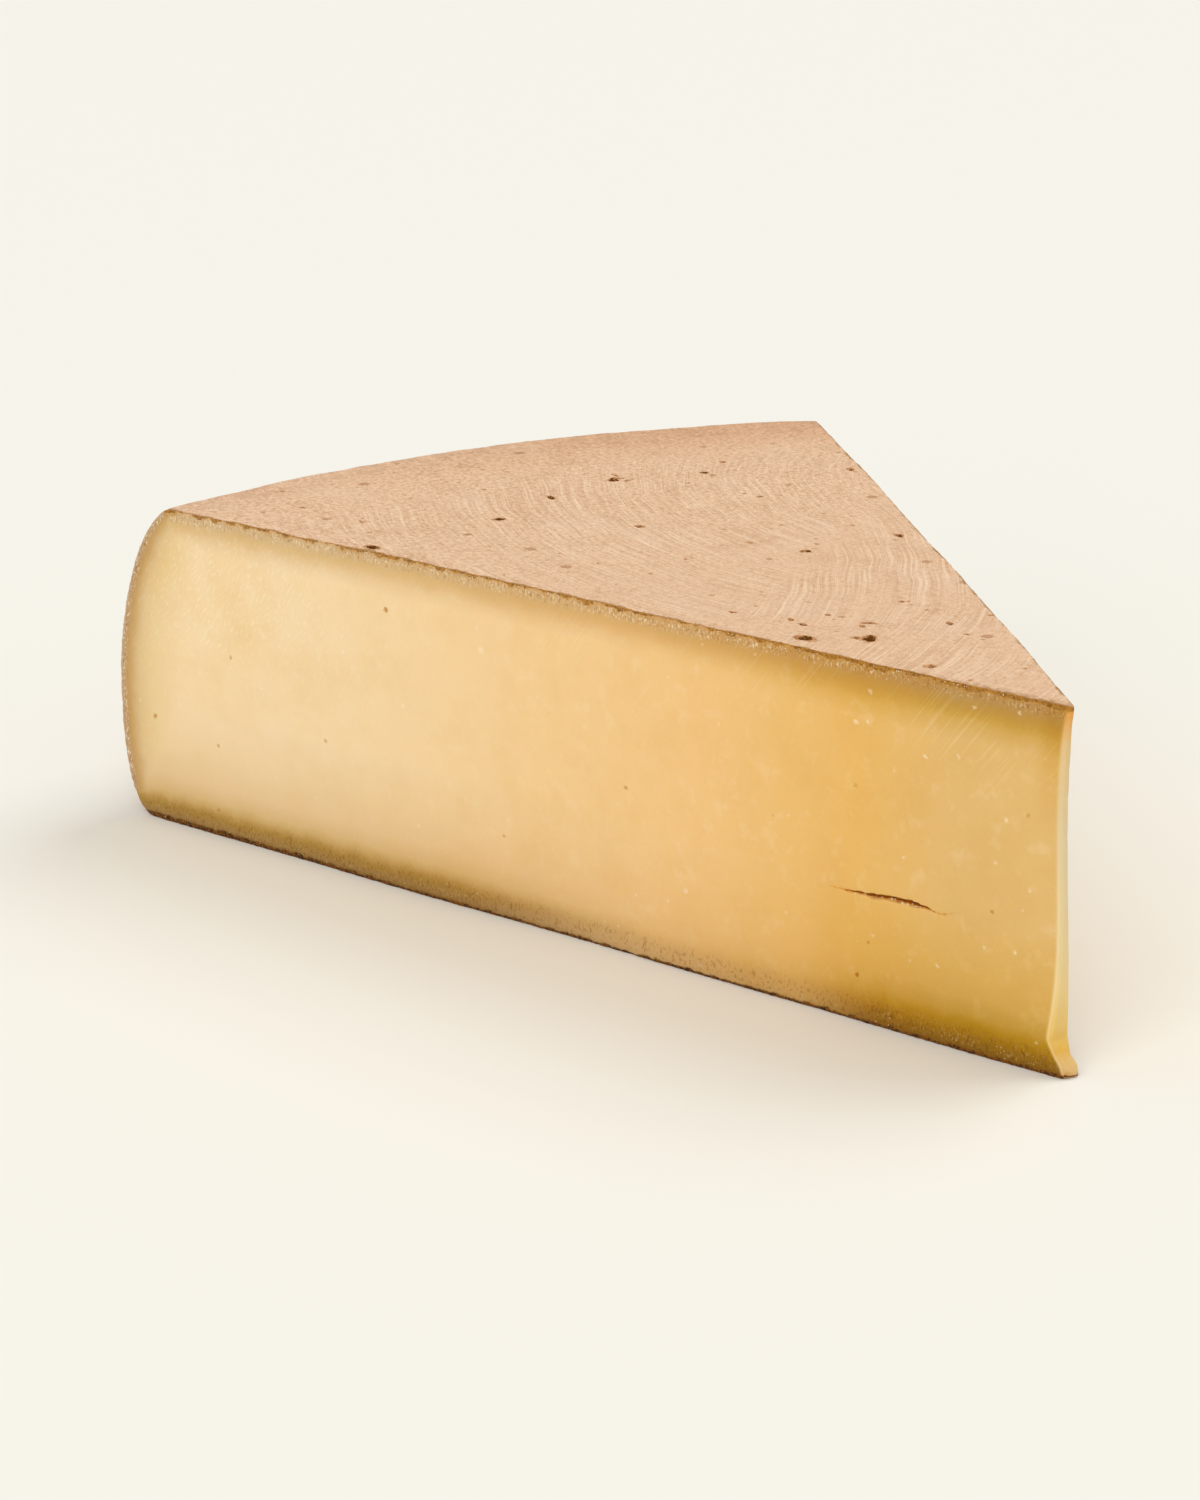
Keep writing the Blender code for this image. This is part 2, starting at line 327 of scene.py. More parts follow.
def heel_radius(z, sizes):
    """Distance in mm from the wheel's axis to the heel's rind at height z."""
    fullest = sizes.heel_radius / MM
    top = sizes.height / MM
    above = np.clip((z - HEEL_LEVEL) / (top - HEEL_LEVEL), 0, 1)
    below = np.clip((HEEL_LEVEL - z) / HEEL_LEVEL, 0, 1)
    upper = TOP_TAPER * above**2 + TOP_ROUNDING * above**9
    lower = FOOT_TAPER * below**3 + FOOT_ROUNDING * below**20
    return fullest - upper - lower


def back_stray(z):
    """How far the back cut lies outside its upright plane at height z."""
    return BACK_STRAY * np.clip((BACK_STRAY_TOP - z) / BACK_STRAY_TOP, 0, 1) ** BACK_STRAY_CURVE


def tip_width(z, sizes):
    """Width of the blunt tip at height z."""
    top = (TIP_TOP_WIDTH - TIP_WIDTH) * np.exp((z - sizes.height / MM) / TIP_TOP_REACH)
    reach = np.where(z > TIP_LOW_LEVEL, TIP_LOW_ABOVE, TIP_LOW_BELOW)
    low = (TIP_LOW_WIDTH - TIP_WIDTH) * np.exp(-((np.abs(z - TIP_LOW_LEVEL) / reach) ** TIP_LOW_CURVE))
    return TIP_WIDTH + top + low


def flap_reach(z):
    """Share of its reach that the nub at the foot of the tip has at height z."""
    return np.exp(-(((z - FLAP_LEVEL) / FLAP_HEIGHT) ** 4))


def rind_rise(x, y, sizes):
    """How far the top rind stands above its level."""
    radius = np.hypot(x, y)
    broad = wave(x, y, 0.0, RIND_WAVE, RIND_WAVE_LENGTH)
    lumps = wave(x, y, RIND_SEED, RIND_LUMP, RIND_LUMP_LENGTH)
    tip = TIP_DIP * np.exp(-radius / TIP_DIP_REACH)
    from_rim = np.maximum(heel_radius(sizes.height / MM, sizes) - radius, 0)
    return broad + lumps - tip - RIM_DIP * np.exp(-from_rim / RIM_DIP_REACH)


def crest(at):
    """How far the front rim of the top rind stands up."""
    rise = CREST * np.exp(-(((at.along - CREST_AT) / CREST_REACH) ** 2))
    return rise * smooth(1 - at.inside_front / CREST_FADE)


def select_only(piece):
    for other in bpy.context.selected_objects:
        other.select_set(False)
    bpy.context.view_layer.objects.active = piece
    piece.select_set(True)


def read_points(mesh):
    """The mesh's points as rows of x, y, z."""
    points = np.zeros(len(mesh.vertices) * 3, np.float32)
    mesh.vertices.foreach_get("co", points)
    return points.reshape(-1, 3).astype(float)


def write_points(mesh, points):
    mesh.vertices.foreach_set("co", points.astype(np.float32).ravel())
    mesh.update()


def write_attribute(mesh, name, kind, values):
    made = mesh.attributes.new(name, kind, "POINT")
    field = "vector" if kind == "FLOAT_VECTOR" else "value"
    made.data.foreach_set(field, values.astype(np.float32).ravel())


def spin_section(sizes):
    """The wheel's radial section as a grid, stood upright at the front cut and spun about the axis."""
    bpy.ops.object.select_all(action="DESELECT")
    cells, rows = SECTION_CELLS
    bpy.ops.mesh.primitive_grid_add(x_subdivisions=cells, y_subdivisions=rows, size=1, location=(0, 0, 0))
    piece = bpy.context.object
    bpy.ops.object.mode_set(mode="EDIT")
    bpy.ops.mesh.select_all(action="SELECT")
    length = sizes.heel_radius - TIP_BLUNT * MM
    bpy.ops.transform.translate(value=(0.5, 0.5, 0))
    bpy.ops.transform.resize(value=(length, sizes.height, 1), center_override=(0, 0, 0))
    bpy.ops.transform.translate(value=(TIP_BLUNT * MM, 0, 0))
    bpy.ops.object.mode_set(mode="OBJECT")
    stand_at_front_cut(piece, sizes)
    bpy.ops.object.mode_set(mode="EDIT")
    bpy.ops.mesh.select_all(action="SELECT")
    bpy.ops.mesh.spin(steps=SPIN_STEPS, angle=sizes.sector, center=(0, 0, 0), axis=(0, 0, 1))
    bpy.ops.mesh.select_all(action="SELECT")
    bpy.ops.mesh.normals_make_consistent(inside=False)
    bpy.ops.object.mode_set(mode="OBJECT")
    return piece


def stand_at_front_cut(piece, sizes):
    """Stands the flat section upright, its tip at the axis and its heel towards the front cut's heel."""
    points = read_points(piece.data)
    turn = sizes.sector / 2
    along, up = points[:, 0], points[:, 1]
    stood = np.stack((-along * np.cos(turn), -along * np.sin(turn), up), axis=-1)
    write_points(piece.data, stood)


def wheel_shares(points, sizes):
    """Shares of the way from tip to heel and from front to back cut, and height in mm, of each point."""
    x, y, z = (points / MM).T
    full = sizes.heel_radius / MM
    out = (np.hypot(x, y) - TIP_BLUNT) / (full - TIP_BLUNT)
    turned = np.arctan2(y, -x)
    across = turned / sizes.sector + 0.5
    return np.clip(out, 0, 1), np.clip(across, 0, 1), z


class Faces:
    """Where each point stands on the smooth wedge, in mm from the axis, and its depth inside each face."""

    def __init__(self, points, sizes):
        out, across, z = wheel_shares(points, sizes)
        top = sizes.height / MM
        half = sizes.sector / 2
        zero = np.zeros_like(z)
        front = np.array((-np.cos(half), -np.sin(half), 0))
        back = np.array((-np.cos(half), np.sin(half), 0))
        radius = heel_radius(z, sizes)
        stray = back_stray(z)
        stop = tip_width(z, sizes) / (2 * np.sin(half))
        meeting = -front * (stray / np.sin(sizes.sector))[:, None]
        tip_front = meeting + front * stop[:, None]
        tip_back = meeting + back * stop[:, None]
        tip = tip_front + (tip_back - tip_front) * across[:, None]
        turned = -half + across * (sizes.sector + stray / radius)
        heel = np.stack((-np.cos(turned) * radius, np.sin(turned) * radius, zero), axis=-1)
        self.places = tip + (heel - tip) * out[:, None]
        self.along = np.hypot(*self.places.T[:2])
        self.from_tip = np.hypot(*(self.places - tip).T[:2])
        self.places[:, 2] = z
        self.across, self.z = across, z
        self.below_top = top - z
        self.above_under = z
        self.inside_heel = (1 - out) * np.hypot(*(heel - tip).T[:2])
        breadth = self.from_tip * sizes.sector + tip_width(z, sizes)
        self.inside_front = across * breadth
        self.inside_back = (1 - across) * breadth
        self.front_in = np.array((-np.sin(half), np.cos(half), 0.0))
        self.back_in = np.array((-np.sin(half), -np.cos(half), 0.0))
        self.heel_in = np.stack((np.cos(turned), -np.sin(turned), zero), axis=-1)
        self.down = np.array((0.0, 0.0, -1.0))


def finer(wanted, there, reach, edge, growth):
    """Shortens the wanted edges at a detail, less so the farther from it."""
    return np.where(there, np.minimum(wanted, edge + growth * np.maximum(reach, 0)), wanted)


def wanted_edges(points, sizes):
    """The longest mesh edge allowed at each place of the spun section, in mm."""
    at = Faces(points, sizes)
    depths = (at.below_top, at.above_under, at.inside_heel, at.inside_front, at.inside_back, at.from_tip)
    from_edge = np.sort(np.stack(depths), axis=0)[1]
    wanted = np.minimum(EDGE_NEAR + EDGE_GROWTH * from_edge, EDGE_FAR)
    on_top, on_front = at.below_top < 1, at.inside_front < 1
    for back, aside, length, *_ in PITS:
        reach = np.hypot(at.places[:, 0] + back, at.places[:, 1] - aside) - length * EDGE_PIT_START
        wanted = finer(wanted, on_top, reach, EDGE_PIT, EDGE_PIT_GROWTH)
    level = np.interp(at.along, SPLIT_AT, SPLIT_LEVELS)
    past = np.maximum(SPLIT_AT[0] - at.along, at.along - SPLIT_AT[-1])
    reach = np.maximum(np.abs(at.z - level) - 1.0, past)
    wanted = finer(wanted, on_front, reach, EDGE_SPLIT, EDGE_SPLIT_GROWTH)
    for radius, level, width, *_ in (*EYES, *SPECKS):
        reach = np.hypot(at.along - radius, at.z - level) - width * EDGE_SPOT_START
        wanted = finer(wanted, on_front, reach, EDGE_PIT, EDGE_SPOT_GROWTH)
    under = (at.above_under < TINY) & (from_edge > EDGE_UNDER_START)
    return np.where(under, EDGE_UNDER, wanted)


def refine(piece, sizes):
    """Subdivides every edge that is too long for its place, until none is."""
    for _ in range(REFINE_ROUNDS):
        mesh = piece.data
        points = read_points(mesh)
        ends = np.zeros(len(mesh.edges) * 2, np.int32)
        mesh.edges.foreach_get("vertices", ends)
        first, second = points[ends[0::2]], points[ends[1::2]]
        lengths = np.linalg.norm(first - second, axis=1) / MM
        long_ones = lengths > wanted_edges((first + second) / 2, sizes)
        if not long_ones.any():
            return
        bpy.ops.object.mode_set(mode="EDIT")
        bpy.ops.mesh.select_mode(type="EDGE")
        bpy.ops.mesh.select_all(action="DESELECT")
        bpy.ops.object.mode_set(mode="OBJECT")
        mesh.edges.foreach_set("select", long_ones)
        bpy.ops.object.mode_set(mode="EDIT")
        bpy.ops.mesh.subdivide(number_cuts=1)
        bpy.ops.object.mode_set(mode="OBJECT")


def round_edge(places, depth_a, depth_b, inward_a, inward_b, radius):
    """Rounds the edge between faces a and b. A point of either face slides onto the arc."""
    reach = depth_a + depth_b
    near = (reach < radius) & (np.minimum(depth_a, depth_b) < ON_FACE)
    angle = pi / 4 * (1 + reach / radius)
    flat = radius * (1 - np.cos(angle))
    fall = radius * (1 - np.sin(angle))
    on_a = depth_a <= depth_b
    move_a = (np.where(on_a, fall, flat) - depth_a)[:, None] * inward_a
    move_b = (np.where(on_a, flat, fall) - depth_b)[:, None] * inward_b
    places[near] += (move_a + move_b)[near]


def round_edges(places, at):
    """All edges of the wedge."""
    front, back = at.front_in[None, :], at.back_in[None, :]
    down, up = at.down[None, :], -at.down[None, :]
    tip_in = np.array((-1.0, 0.0, 0.0))[None, :]
    uneven = 1 + 0.5 * wave(*at.places.T, 1.0, 5.0)
    for depth, inward in ((at.inside_front, front), (at.inside_back, back)):
        round_edge(places, at.below_top, depth, down, inward, CRUST_ROUND * uneven)
        round_edge(places, at.above_under, depth, up, inward, CRUST_ROUND * uneven)
        round_edge(places, at.from_tip, depth, tip_in, inward, TIP_ROUND * uneven)
        round_edge(places, at.inside_heel, depth, at.heel_in, inward, CRUST_ROUND * uneven)
    round_edge(places, at.below_top, at.inside_heel, down, at.heel_in, RIM_ROUND * uneven)
    round_edge(places, at.above_under, at.inside_heel, up, at.heel_in, FOOT_ROUND * uneven)
    round_edge(places, at.below_top, at.from_tip, down, tip_in, CRUST_ROUND * uneven)
    round_edge(places, at.above_under, at.from_tip, up, tip_in, FLAP_ROUND * uneven)


def sway(places, at, sizes):
    """The broad unevenness of rind and knife cuts, and the nub at the foot of the tip."""
    x, y, z = at.places.T
    places[:, 2] += (rind_rise(x, y, sizes) + crest(at)) * smooth(1 - at.below_top / TOP_FADE)
    flap = flap_reach(z) * np.exp(-((at.from_tip / FLAP_REACH) ** 2))
    flap *= FLAP_FRONT + (1 - FLAP_FRONT) * at.across
    places[:, 0] += FLAP_OUT * flap
    places[:, 1] += FLAP_ASIDE * flap
    start = smooth(at.from_tip / KNIFE_WAVE_START)
    cuts = ((FRONT_SEED, at.inside_front, at.front_in), (BACK_SEED, at.inside_back, at.back_in))
    for seed, depth, inward in cuts:
        waver = wave(at.along, z, seed, KNIFE_WAVE, KNIFE_WAVE_LENGTH)
        fade = start * smooth(1 - depth / CUT_FADE)
        places -= (waver * fade)[:, None] * inward
    turn = BACK_TURN * np.maximum(at.along - BACK_TURN_START, 0)
    places += (turn * smooth(1 - at.inside_back / TURN_FADE))[:, None] * at.back_in
    swell = wave(y, z, HEEL_SEED, RIND_WAVE, RIND_WAVE_LENGTH) * smooth(1 - at.inside_heel / HEEL_FADE)
    places -= swell[:, None] * at.heel_in


def crust_relief(places, at):
    """The torn crust line and the granular band of both cuts, and the fine grain of the rind."""
    x, y, z = at.places.T
    nearest_rind = np.minimum(np.minimum(at.below_top, at.above_under), at.inside_heel)
    torn = np.exp(-((nearest_rind / TORN_DEPTH) ** 2))
    band = smooth((nearest_rind - GRAIN_BAND[0]) / 0.6) * smooth((GRAIN_BAND[1] - nearest_rind) / 1.6)
    rough = wave(x, y, z + TORN_SEED, 1.0, TORN_LENGTH)
    grain = wave(x, y, z + GRAIN_SEED, 1.0, GRAIN_LENGTH)
    cuts = ((at.inside_front, at.front_in, TORN), (at.inside_back, at.back_in, TORN_BACK))
    for depth, inward, tearing in cuts:
        here = np.where(depth < ON_FACE, 1.0, 0.0)
        lift = tearing * torn * rough + GRAIN * band * grain
        places -= (lift * here)[:, None] * inward
    on_top = np.where(at.below_top < TINY, 1.0, 0.0)
    places[:, 2] += RIND_GRAIN * on_top * wave(x, y, z + RIND_GRAIN_SEED, 1.0, RIND_GRAIN_LENGTH)


def seeded_pits(sizes):
    """Small pits strewn over the top rind, thicker towards the tip."""
    draw = np.random.default_rng(sizes.seed)
    full = heel_radius(sizes.height / MM, sizes)
    half = sizes.sector / 2
    for _ in range(PIT_SEEDED):
        radius = full * draw.uniform(0.03, 0.99) ** 0.8
        turned = draw.uniform(-half, half) * 0.97
        width = draw.uniform(*PIT_SEEDED_WIDTH) * draw.uniform(0.6, 1.0)
        length = width * draw.uniform(1.0, 1.9)
        depth = draw.uniform(*PIT_SEEDED_DEPTH)
        yield radius * np.cos(turned), radius * np.sin(turned), length, width, depth, draw.uniform(-90, 90)


def press_pits(places, at, hollow_brown_and_shade, sizes):
    """Sinks every pit into the top rind and notes how dark each point of it is: brown round its rim, and
    painted shade that deepens with the pit's depth.
    """
    on_top = at.below_top < 3.5
    x, y = at.places[:, 0], at.places[:, 1]
    for back, aside, length, width, depth, turn in (*PITS, *seeded_pits(sizes)):
        near = np.flatnonzero(on_top & (np.hypot(x + back, y - aside) < length * 1.2))
        if not len(near):
            continue
        along, sideways = x[near] + back, y[near] - aside
        turned = radians(turn)
        u = (along * np.cos(turned) + sideways * np.sin(turned)) / (length / 2)
        v = (sideways * np.cos(turned) - along * np.sin(turned)) / (width / 2)
        ragged = wave(x[near], y[near], back, PIT_RAGGED, PIT_RAGGED_LENGTH)
        reach = np.hypot(u, v) + ragged
        sunk = smooth((1 - reach) / PIT_WALL)
        floor = 1 + PIT_FLOOR * wave(x[near], y[near], aside, 1.0, PIT_RAGGED_LENGTH)
        fade = np.exp(-at.below_top[near] / PIT_FADE)
        places[near, 2] -= depth * sunk * floor * fade
        lip = np.exp(-(((reach - PIT_LIP_AT) / PIT_LIP_WIDTH) ** 2)) * min(depth, 1.0) * PIT_LIP_RISE
        places[near, 2] += lip * (1 + 1.5 * ragged) * fade
        # Painted shade in the pit, darker the deeper it is, over the brown of its rim
        dark = np.clip((1.9 - reach) / 1.6, 0, 1) * min(1.0, 0.5 + depth * 0.3)
        hollow_brown_and_shade[near] = np.maximum(hollow_brown_and_shade[near], dark * fade)


def spot(at, depth, radius, level, width):
    """The points of a cut round a spot, and how far from its middle each lies, in radii."""
    reach = np.hypot(at.along - radius, at.z - level) / (width / 2)
    near = np.flatnonzero((depth < ON_FACE) & (reach < SPOT_REACH))
    return near, reach[near]


def press_eyes(places, at, eyes, sizes):
    """Sinks small eyes into both cuts and notes how brown each point is."""
    draw = np.random.default_rng(sizes.seed + 1)
    strewn = [[draw.uniform(*ends) for ends in BACK_EYE_RANGES] for _ in range(BACK_EYES)]
    cuts = ((EYES, at.inside_front, at.front_in), (strewn, at.inside_back, at.back_in))
    for spots, depth, inward in cuts:
        for *spot_place, brown in spots:
            near, reach = spot(at, depth, *spot_place)
            ragged = wave(*at.places[near].T, 0.5, 0.8)
            places[near] += (EYE_DEPTH * smooth((1.2 - reach - ragged) / 0.8))[:, None] * inward
            eyes[near] = np.maximum(eyes[near], brown * smooth((1.4 - reach - ragged) / 0.7))


def raise_specks(places, at, pale):
    """Whitish specks that stand out a little from the front cut."""
    for speck in SPECKS:
        near, reach = spot(at, at.inside_front, *speck)
        ragged = wave(*at.places[near].T, 1.1, 0.6)
        share = smooth((1.3 - reach - ragged) / 0.9)
        places[near] -= (SPECK_RISE * share)[:, None] * at.front_in
        pale[near] = np.maximum(pale[near], share)


def open_split(places, at, hollow_brown_and_shade):
    """Opens the split in the front cut and notes its dark inside, partly brown and partly painted shade."""
    there = (at.along > SPLIT_AT[0]) & (at.along < SPLIT_AT[-1])
    near = np.flatnonzero((at.inside_front < ON_FACE) & there)
    x, y, z = at.places[near].T
    level = np.interp(at.along[near], SPLIT_AT, SPLIT_LEVELS) + wave(x, y, 5.0, 0.2, 3.5)
    gape = np.interp(at.along[near], SPLIT_AT, SPLIT_GAPES) * (1 + wave(x, y, 9.0, 0.7, 2.2))
    inside = gape / 2 - np.abs(z - level) + wave(x, y, z, 0.12, 0.7) * smooth(gape)
    sunk = smooth((inside + SPLIT_WALL / 2) / SPLIT_WALL) * smooth(gape / 0.25)
    depth = SPLIT_DEPTH * np.clip(gape, 0, 1.3) / 1.3
    places[near] += (depth * sunk)[:, None] * at.front_in
    # Darker deeper in the gap: painted shade over the split's brown
    dark = np.clip(0.5 + inside / 0.7, 0, 1) * smooth(gape / 0.12)
    hollow_brown_and_shade[near] = np.maximum(hollow_brown_and_shade[near], dark)


def mark_slots(piece, at):
    """Slot 0 is rind, on the top, the underside and the heel. Slot 1 is paste, on the cuts and the tip."""
    on_heel = at.inside_heel < ON_FACE
    on_paste = (at.inside_front < ON_FACE) | (at.inside_back < ON_FACE) | (at.from_tip < TINY)
    on_rind = (at.below_top < TINY) | (at.above_under < TINY) | on_heel
    for face in piece.data.polygons:
        corners = list(face.vertices)
        paste = on_paste[corners].all()
        if paste and on_rind[corners].all():  # every corner lies on an edge between the two
            paste = abs(face.normal.z) < 0.7 and not on_heel[corners].all()
        face.material_index = int(paste)


def build_body(sizes):
    """The wedge as one closed mesh with its depths and marks as attributes."""
    piece = spin_section(sizes)
    piece.name = "cheese_body"
    piece.data.name = "cheese_body"
    refine(piece, sizes)
    at = Faces(read_points(piece.data), sizes)
    mark_slots(piece, at)
    places = at.places.copy()
    hollow_brown_and_shade, eyes, pale = np.zeros((3, len(places)))
    round_edges(places, at)
    sway(places, at, sizes)
    crust_relief(places, at)
    press_pits(places, at, hollow_brown_and_shade, sizes)
    press_eyes(places, at, eyes, sizes)
    raise_specks(places, at, pale)
    open_split(places, at, hollow_brown_and_shade)
    write_points(piece.data, places * MM + np.array(axis_place()))
    depths = np.stack((at.below_top, at.above_under, at.inside_heel), axis=-1)
    edges = np.stack((at.inside_front, at.inside_back, at.from_tip), axis=-1)
    write_attribute(piece.data, "depths", "FLOAT_VECTOR", depths)
    write_attribute(piece.data, "edges", "FLOAT_VECTOR", edges)
    for name, values in (("hollow_brown_and_shade", hollow_brown_and_shade), ("eyes", eyes), ("pale", pale)):
        write_attribute(piece.data, name, "FLOAT", values)
    select_only(piece)
    bpy.ops.object.shade_smooth_by_angle(angle=radians(50))
    return piece


FACTOR, A, B, MIXED = 0, 6, 7, 2  # sockets of a Mix node that mixes colours


def solid(hex_colour):
    return (*linear(hex_colour), 1)


class Look:
    """One material's nodes. Lengths in its patterns are in mm, and places count from the wheel's axis."""

    def __init__(self, name):
        self.material = bpy.data.materials.new(name)
        self.material.use_nodes = True
        self.tree = self.material.node_tree

    def fill(self, node, inputs):
        """Sets a node's inputs, which are values or sockets to link."""
        for name, value in inputs.items():
            if isinstance(value, bpy.types.NodeSocket):
                self.tree.links.new(value, node.inputs[name])
            else:
                node.inputs[name].default_value = value

    def add(self, kind, inputs, output=0, stops=(), **properties):
        """Adds a node with its properties, inputs and ramp stops, and gives one output, or all for None."""
        made = self.tree.nodes.new("ShaderNode" + kind)
        for name, value in properties.items():
            setattr(made, name, value)
        self.fill(made, inputs)
        for number, (position, colour) in enumerate(stops):
            elements = made.color_ramp.elements
            stop = elements[number] if number < 2 else elements.new(position)
            stop.position = position
            stop.color = (*colour, 1)
        return made.outputs if output is None else made.outputs[output]

    def shade(self, inputs):
        """Sets the shader's inputs and gives the finished material."""
        self.fill(self.tree.nodes["Principled BSDF"], inputs)
        return self.material

    def locate(self):
        """Where each point lies from the wheel's axis, and how far from it."""
        axis = axis_place()
        from_axis = self.moved(self.add("TexCoord", {}, "Object"), (-axis.x, -axis.y, 0))
        self.place = self.add("VectorMath", {0: from_axis, "Scale": 1 / MM}, operation="SCALE")
        self.x, self.y, self.height = self.add("SeparateXYZ", {0: self.place}, None)
        self.radius = self.flat_length(self.place)

    def measure(self):
        """How deep each point lies under the faces of the wedge."""
        depths = self.add("Attribute", {}, "Vector", attribute_name="depths")
        edges = self.add("Attribute", {}, "Vector", attribute_name="edges")
        self.below_top, self.above_under, self.inside_heel = self.add("SeparateXYZ", {0: depths}, None)
        self.inside_front, self.inside_back, self.from_tip = self.add("SeparateXYZ", {0: edges}, None)

    def moved(self, place, by):
        return self.add("VectorMath", {0: place, 1: by}, operation="ADD")

    def flat_length(self, place):
        """Distance from the upright line through the place's zero."""
        flat = self.add("VectorMath", {0: place, 1: (1, 1, 0)}, operation="MULTIPLY")
        return self.add("VectorMath", {0: flat}, "Value", operation="LENGTH")

    def maths(self, operation, *values, clamp=False):
        return self.add("Math", dict(enumerate(values)), operation=operation, use_clamp=clamp)

    def plus(self, first, second):
        return self.maths("ADD", first, second)

    def times(self, *values):
        product = values[0]
        for value in values[1:]:
            product = self.maths("MULTIPLY", product, value)
        return product

    def scaled(self, value, slope, start):
        """The value times a slope, plus a start."""
        return self.maths("MULTIPLY_ADD", value, slope, start)

    def steps(self, value, low, high):
        """0 where the value is under low, 1 where it is over high, and a soft slope between."""
        limits = {"Value": value, "From Min": low, "From Max": high}
        return self.add("MapRange", limits, interpolation_type="SMOOTHSTEP")

    def falls(self, value, low, high):
        """1 where the value is under low, 0 where it is over high, and a soft slope between."""
        return self.maths("SUBTRACT", 1.0, self.steps(value, low, high))

    def between(self, value, low, full, fade, high):
        """0 below low, 1 from full to fade, and 0 above high."""
        return self.times(self.steps(value, low, full), self.falls(value, fade, high))

    def mottle(self, length, detail=2.0, roughness=0.5, place=None):
        """Even noise from 0 to 1 whose blotches are about that many mm long."""
        where = self.place if place is None else place
        shape = {"Vector": where, "Scale": 1 / length, "Detail": detail, "Roughness": roughness}
        return self.add("TexNoise", shape, "Fac")

    def uneven(self, spread, *mottling):
        """Mottling centred on 0, with that much between its least and its most."""
        return self.scaled(self.mottle(*mottling), spread, -spread / 2)

    def patches(self, low, high, *mottling):
        """Mottling cut into soft patches: 0 where it is under low, 1 where it is over high."""
        return self.steps(self.mottle(*mottling), low, high)

    def streaks(self, across, along, width, run, seed, detail=1.0):
        """Noise whose blotches are that wide across and that long along a direction."""
        axes = {0: self.maths("DIVIDE", across, width), 1: self.maths("DIVIDE", along, run), 2: seed}
        where = self.add("CombineXYZ", axes)
        return self.add("TexNoise", {"Vector": where, "Scale": 1.0, "Detail": detail}, "Fac")

    def specks(self, spacing, radius, share, seed):
        """1 in ragged specks: cells that far apart, of which that share hold one of up to that radius."""
        place = self.moved(self.place, (seed, seed, seed))
        cells = self.add("TexVoronoi", {"Vector": place, "Scale": 1 / spacing, "Randomness": 1.0}, None)
        draw = self.add("SeparateXYZ", {0: cells["Color"]})
        size = self.times(self.steps(draw, 1 - share, 1.3 - share * 0.5), radius * 1.6 / spacing)
        fray = self.scaled(self.mottle(radius * 0.9), 0.8, 0.6)
        inside = self.maths("SUBTRACT", size, self.times(cells["Distance"], fray))
        return self.steps(inside, 0.0, 0.5 * radius / spacing)

    def blend(self, factor, under, over, how="MIX"):
        colours = {FACTOR: factor, A: under, B: over}
        return self.add("Mix", colours, MIXED, data_type="RGBA", blend_type=how)

    def paint(self, colour, hex_colour, *factors, how="MIX"):
        """Lays an sRGB colour over another, by the product of the factors."""
        return self.blend(self.times(*factors), colour, solid(hex_colour), how)

    def darken(self, colour, hex_colour, *factors):
        """Multiplies a colour by an sRGB tint, by the product of the factors."""
        return self.paint(colour, hex_colour, *factors, how="MULTIPLY")

    def tint(self, value, stops):
        """A colour ramp whose stops are sRGB colours at places in mm."""
        reach = stops[-1][0]
        share = self.maths("DIVIDE", value, reach, clamp=True)
        return self.add("ValToRGB", {0: share}, stops=[(at / reach, linear(tone)) for at, tone in stops])

    def strew(self, colour, kinds):
        """Paints specks of several kinds: colour, strength, spacing, radius, share and seed of each."""
        for tone, strength, *speck in kinds:
            colour = self.paint(colour, tone, self.specks(*speck), strength)
        return colour


# Where the four colours of the paste lie, as shares of the way from the wheel's axis to the heel
PASTE_SHARES = (0.1, 0.19, 0.35, 0.76)

# Tints of the paste by mm below the top rind, above the underside and inside the heel. Each pair is what
# the heel's half of the wedge has, and what the tip has.
TOP_TINTS = (
    (
        (0.0, "#DED5CE"),
        (2.5, "#DFD4C5"),
        (4.0, "#E4D9C0"),
        (5.0, "#E8DDC6"),
        (6.0, "#EDE3D2"),
        (8.0, "#F6F2EA"),
        (11.0, "#FFFFFF"),
    ),
    (
        (0.0, "#D3C6BF"),
        (3.0, "#D2C4B0"),
        (4.5, "#D5C8A0"),
        (6.0, "#DACC92"),
        (8.0, "#E4D896"),
        (10.0, "#F0E9C0"),
        (15.0, "#FFFFFF"),
    ),
)
# The underside's tints darken towards the floor: partly the paste's own band, partly painted shade where the
# wedge stands on the floor
FOOT_TINTS_AND_SHADE = (
    (
        (0.0, "#8F7A44"),
        (2.5, "#A8936A"),
        (5.0, "#B29C5C"),
        (6.5, "#C4AF78"),
        (8.0, "#D5C59B"),
        (10.0, "#E4D9BE"),
        (15.0, "#F1E9DC"),
        (25.0, "#F9F6EE"),
        (40.0, "#FFFFFF"),
    ),
    (
        (0.0, "#92793A"),
        (3.5, "#AB9632"),
        (5.0, "#B9A11E"),
        (8.0, "#CEBC3E"),
        (10.0, "#DCCF80"),
        (15.0, "#EFE5B6"),
        (20.0, "#F5EDC4"),
        (30.0, "#FBF7E0"),
        (40.0, "#FFFFFF"),
    ),
)
HEEL_TINTS = (
    (0.0, "#C9B9B2"),
    (1.5, "#C9B8A8"),
    (3.0, "#CCB892"),
    (4.5, "#D6C4A0"),
    (6.0, "#E0D6C0"),
    (8.0, "#EBE4D2"),
    (12.0, "#F3EFDC"),
    (24.0, "#FFFEFA"),
)

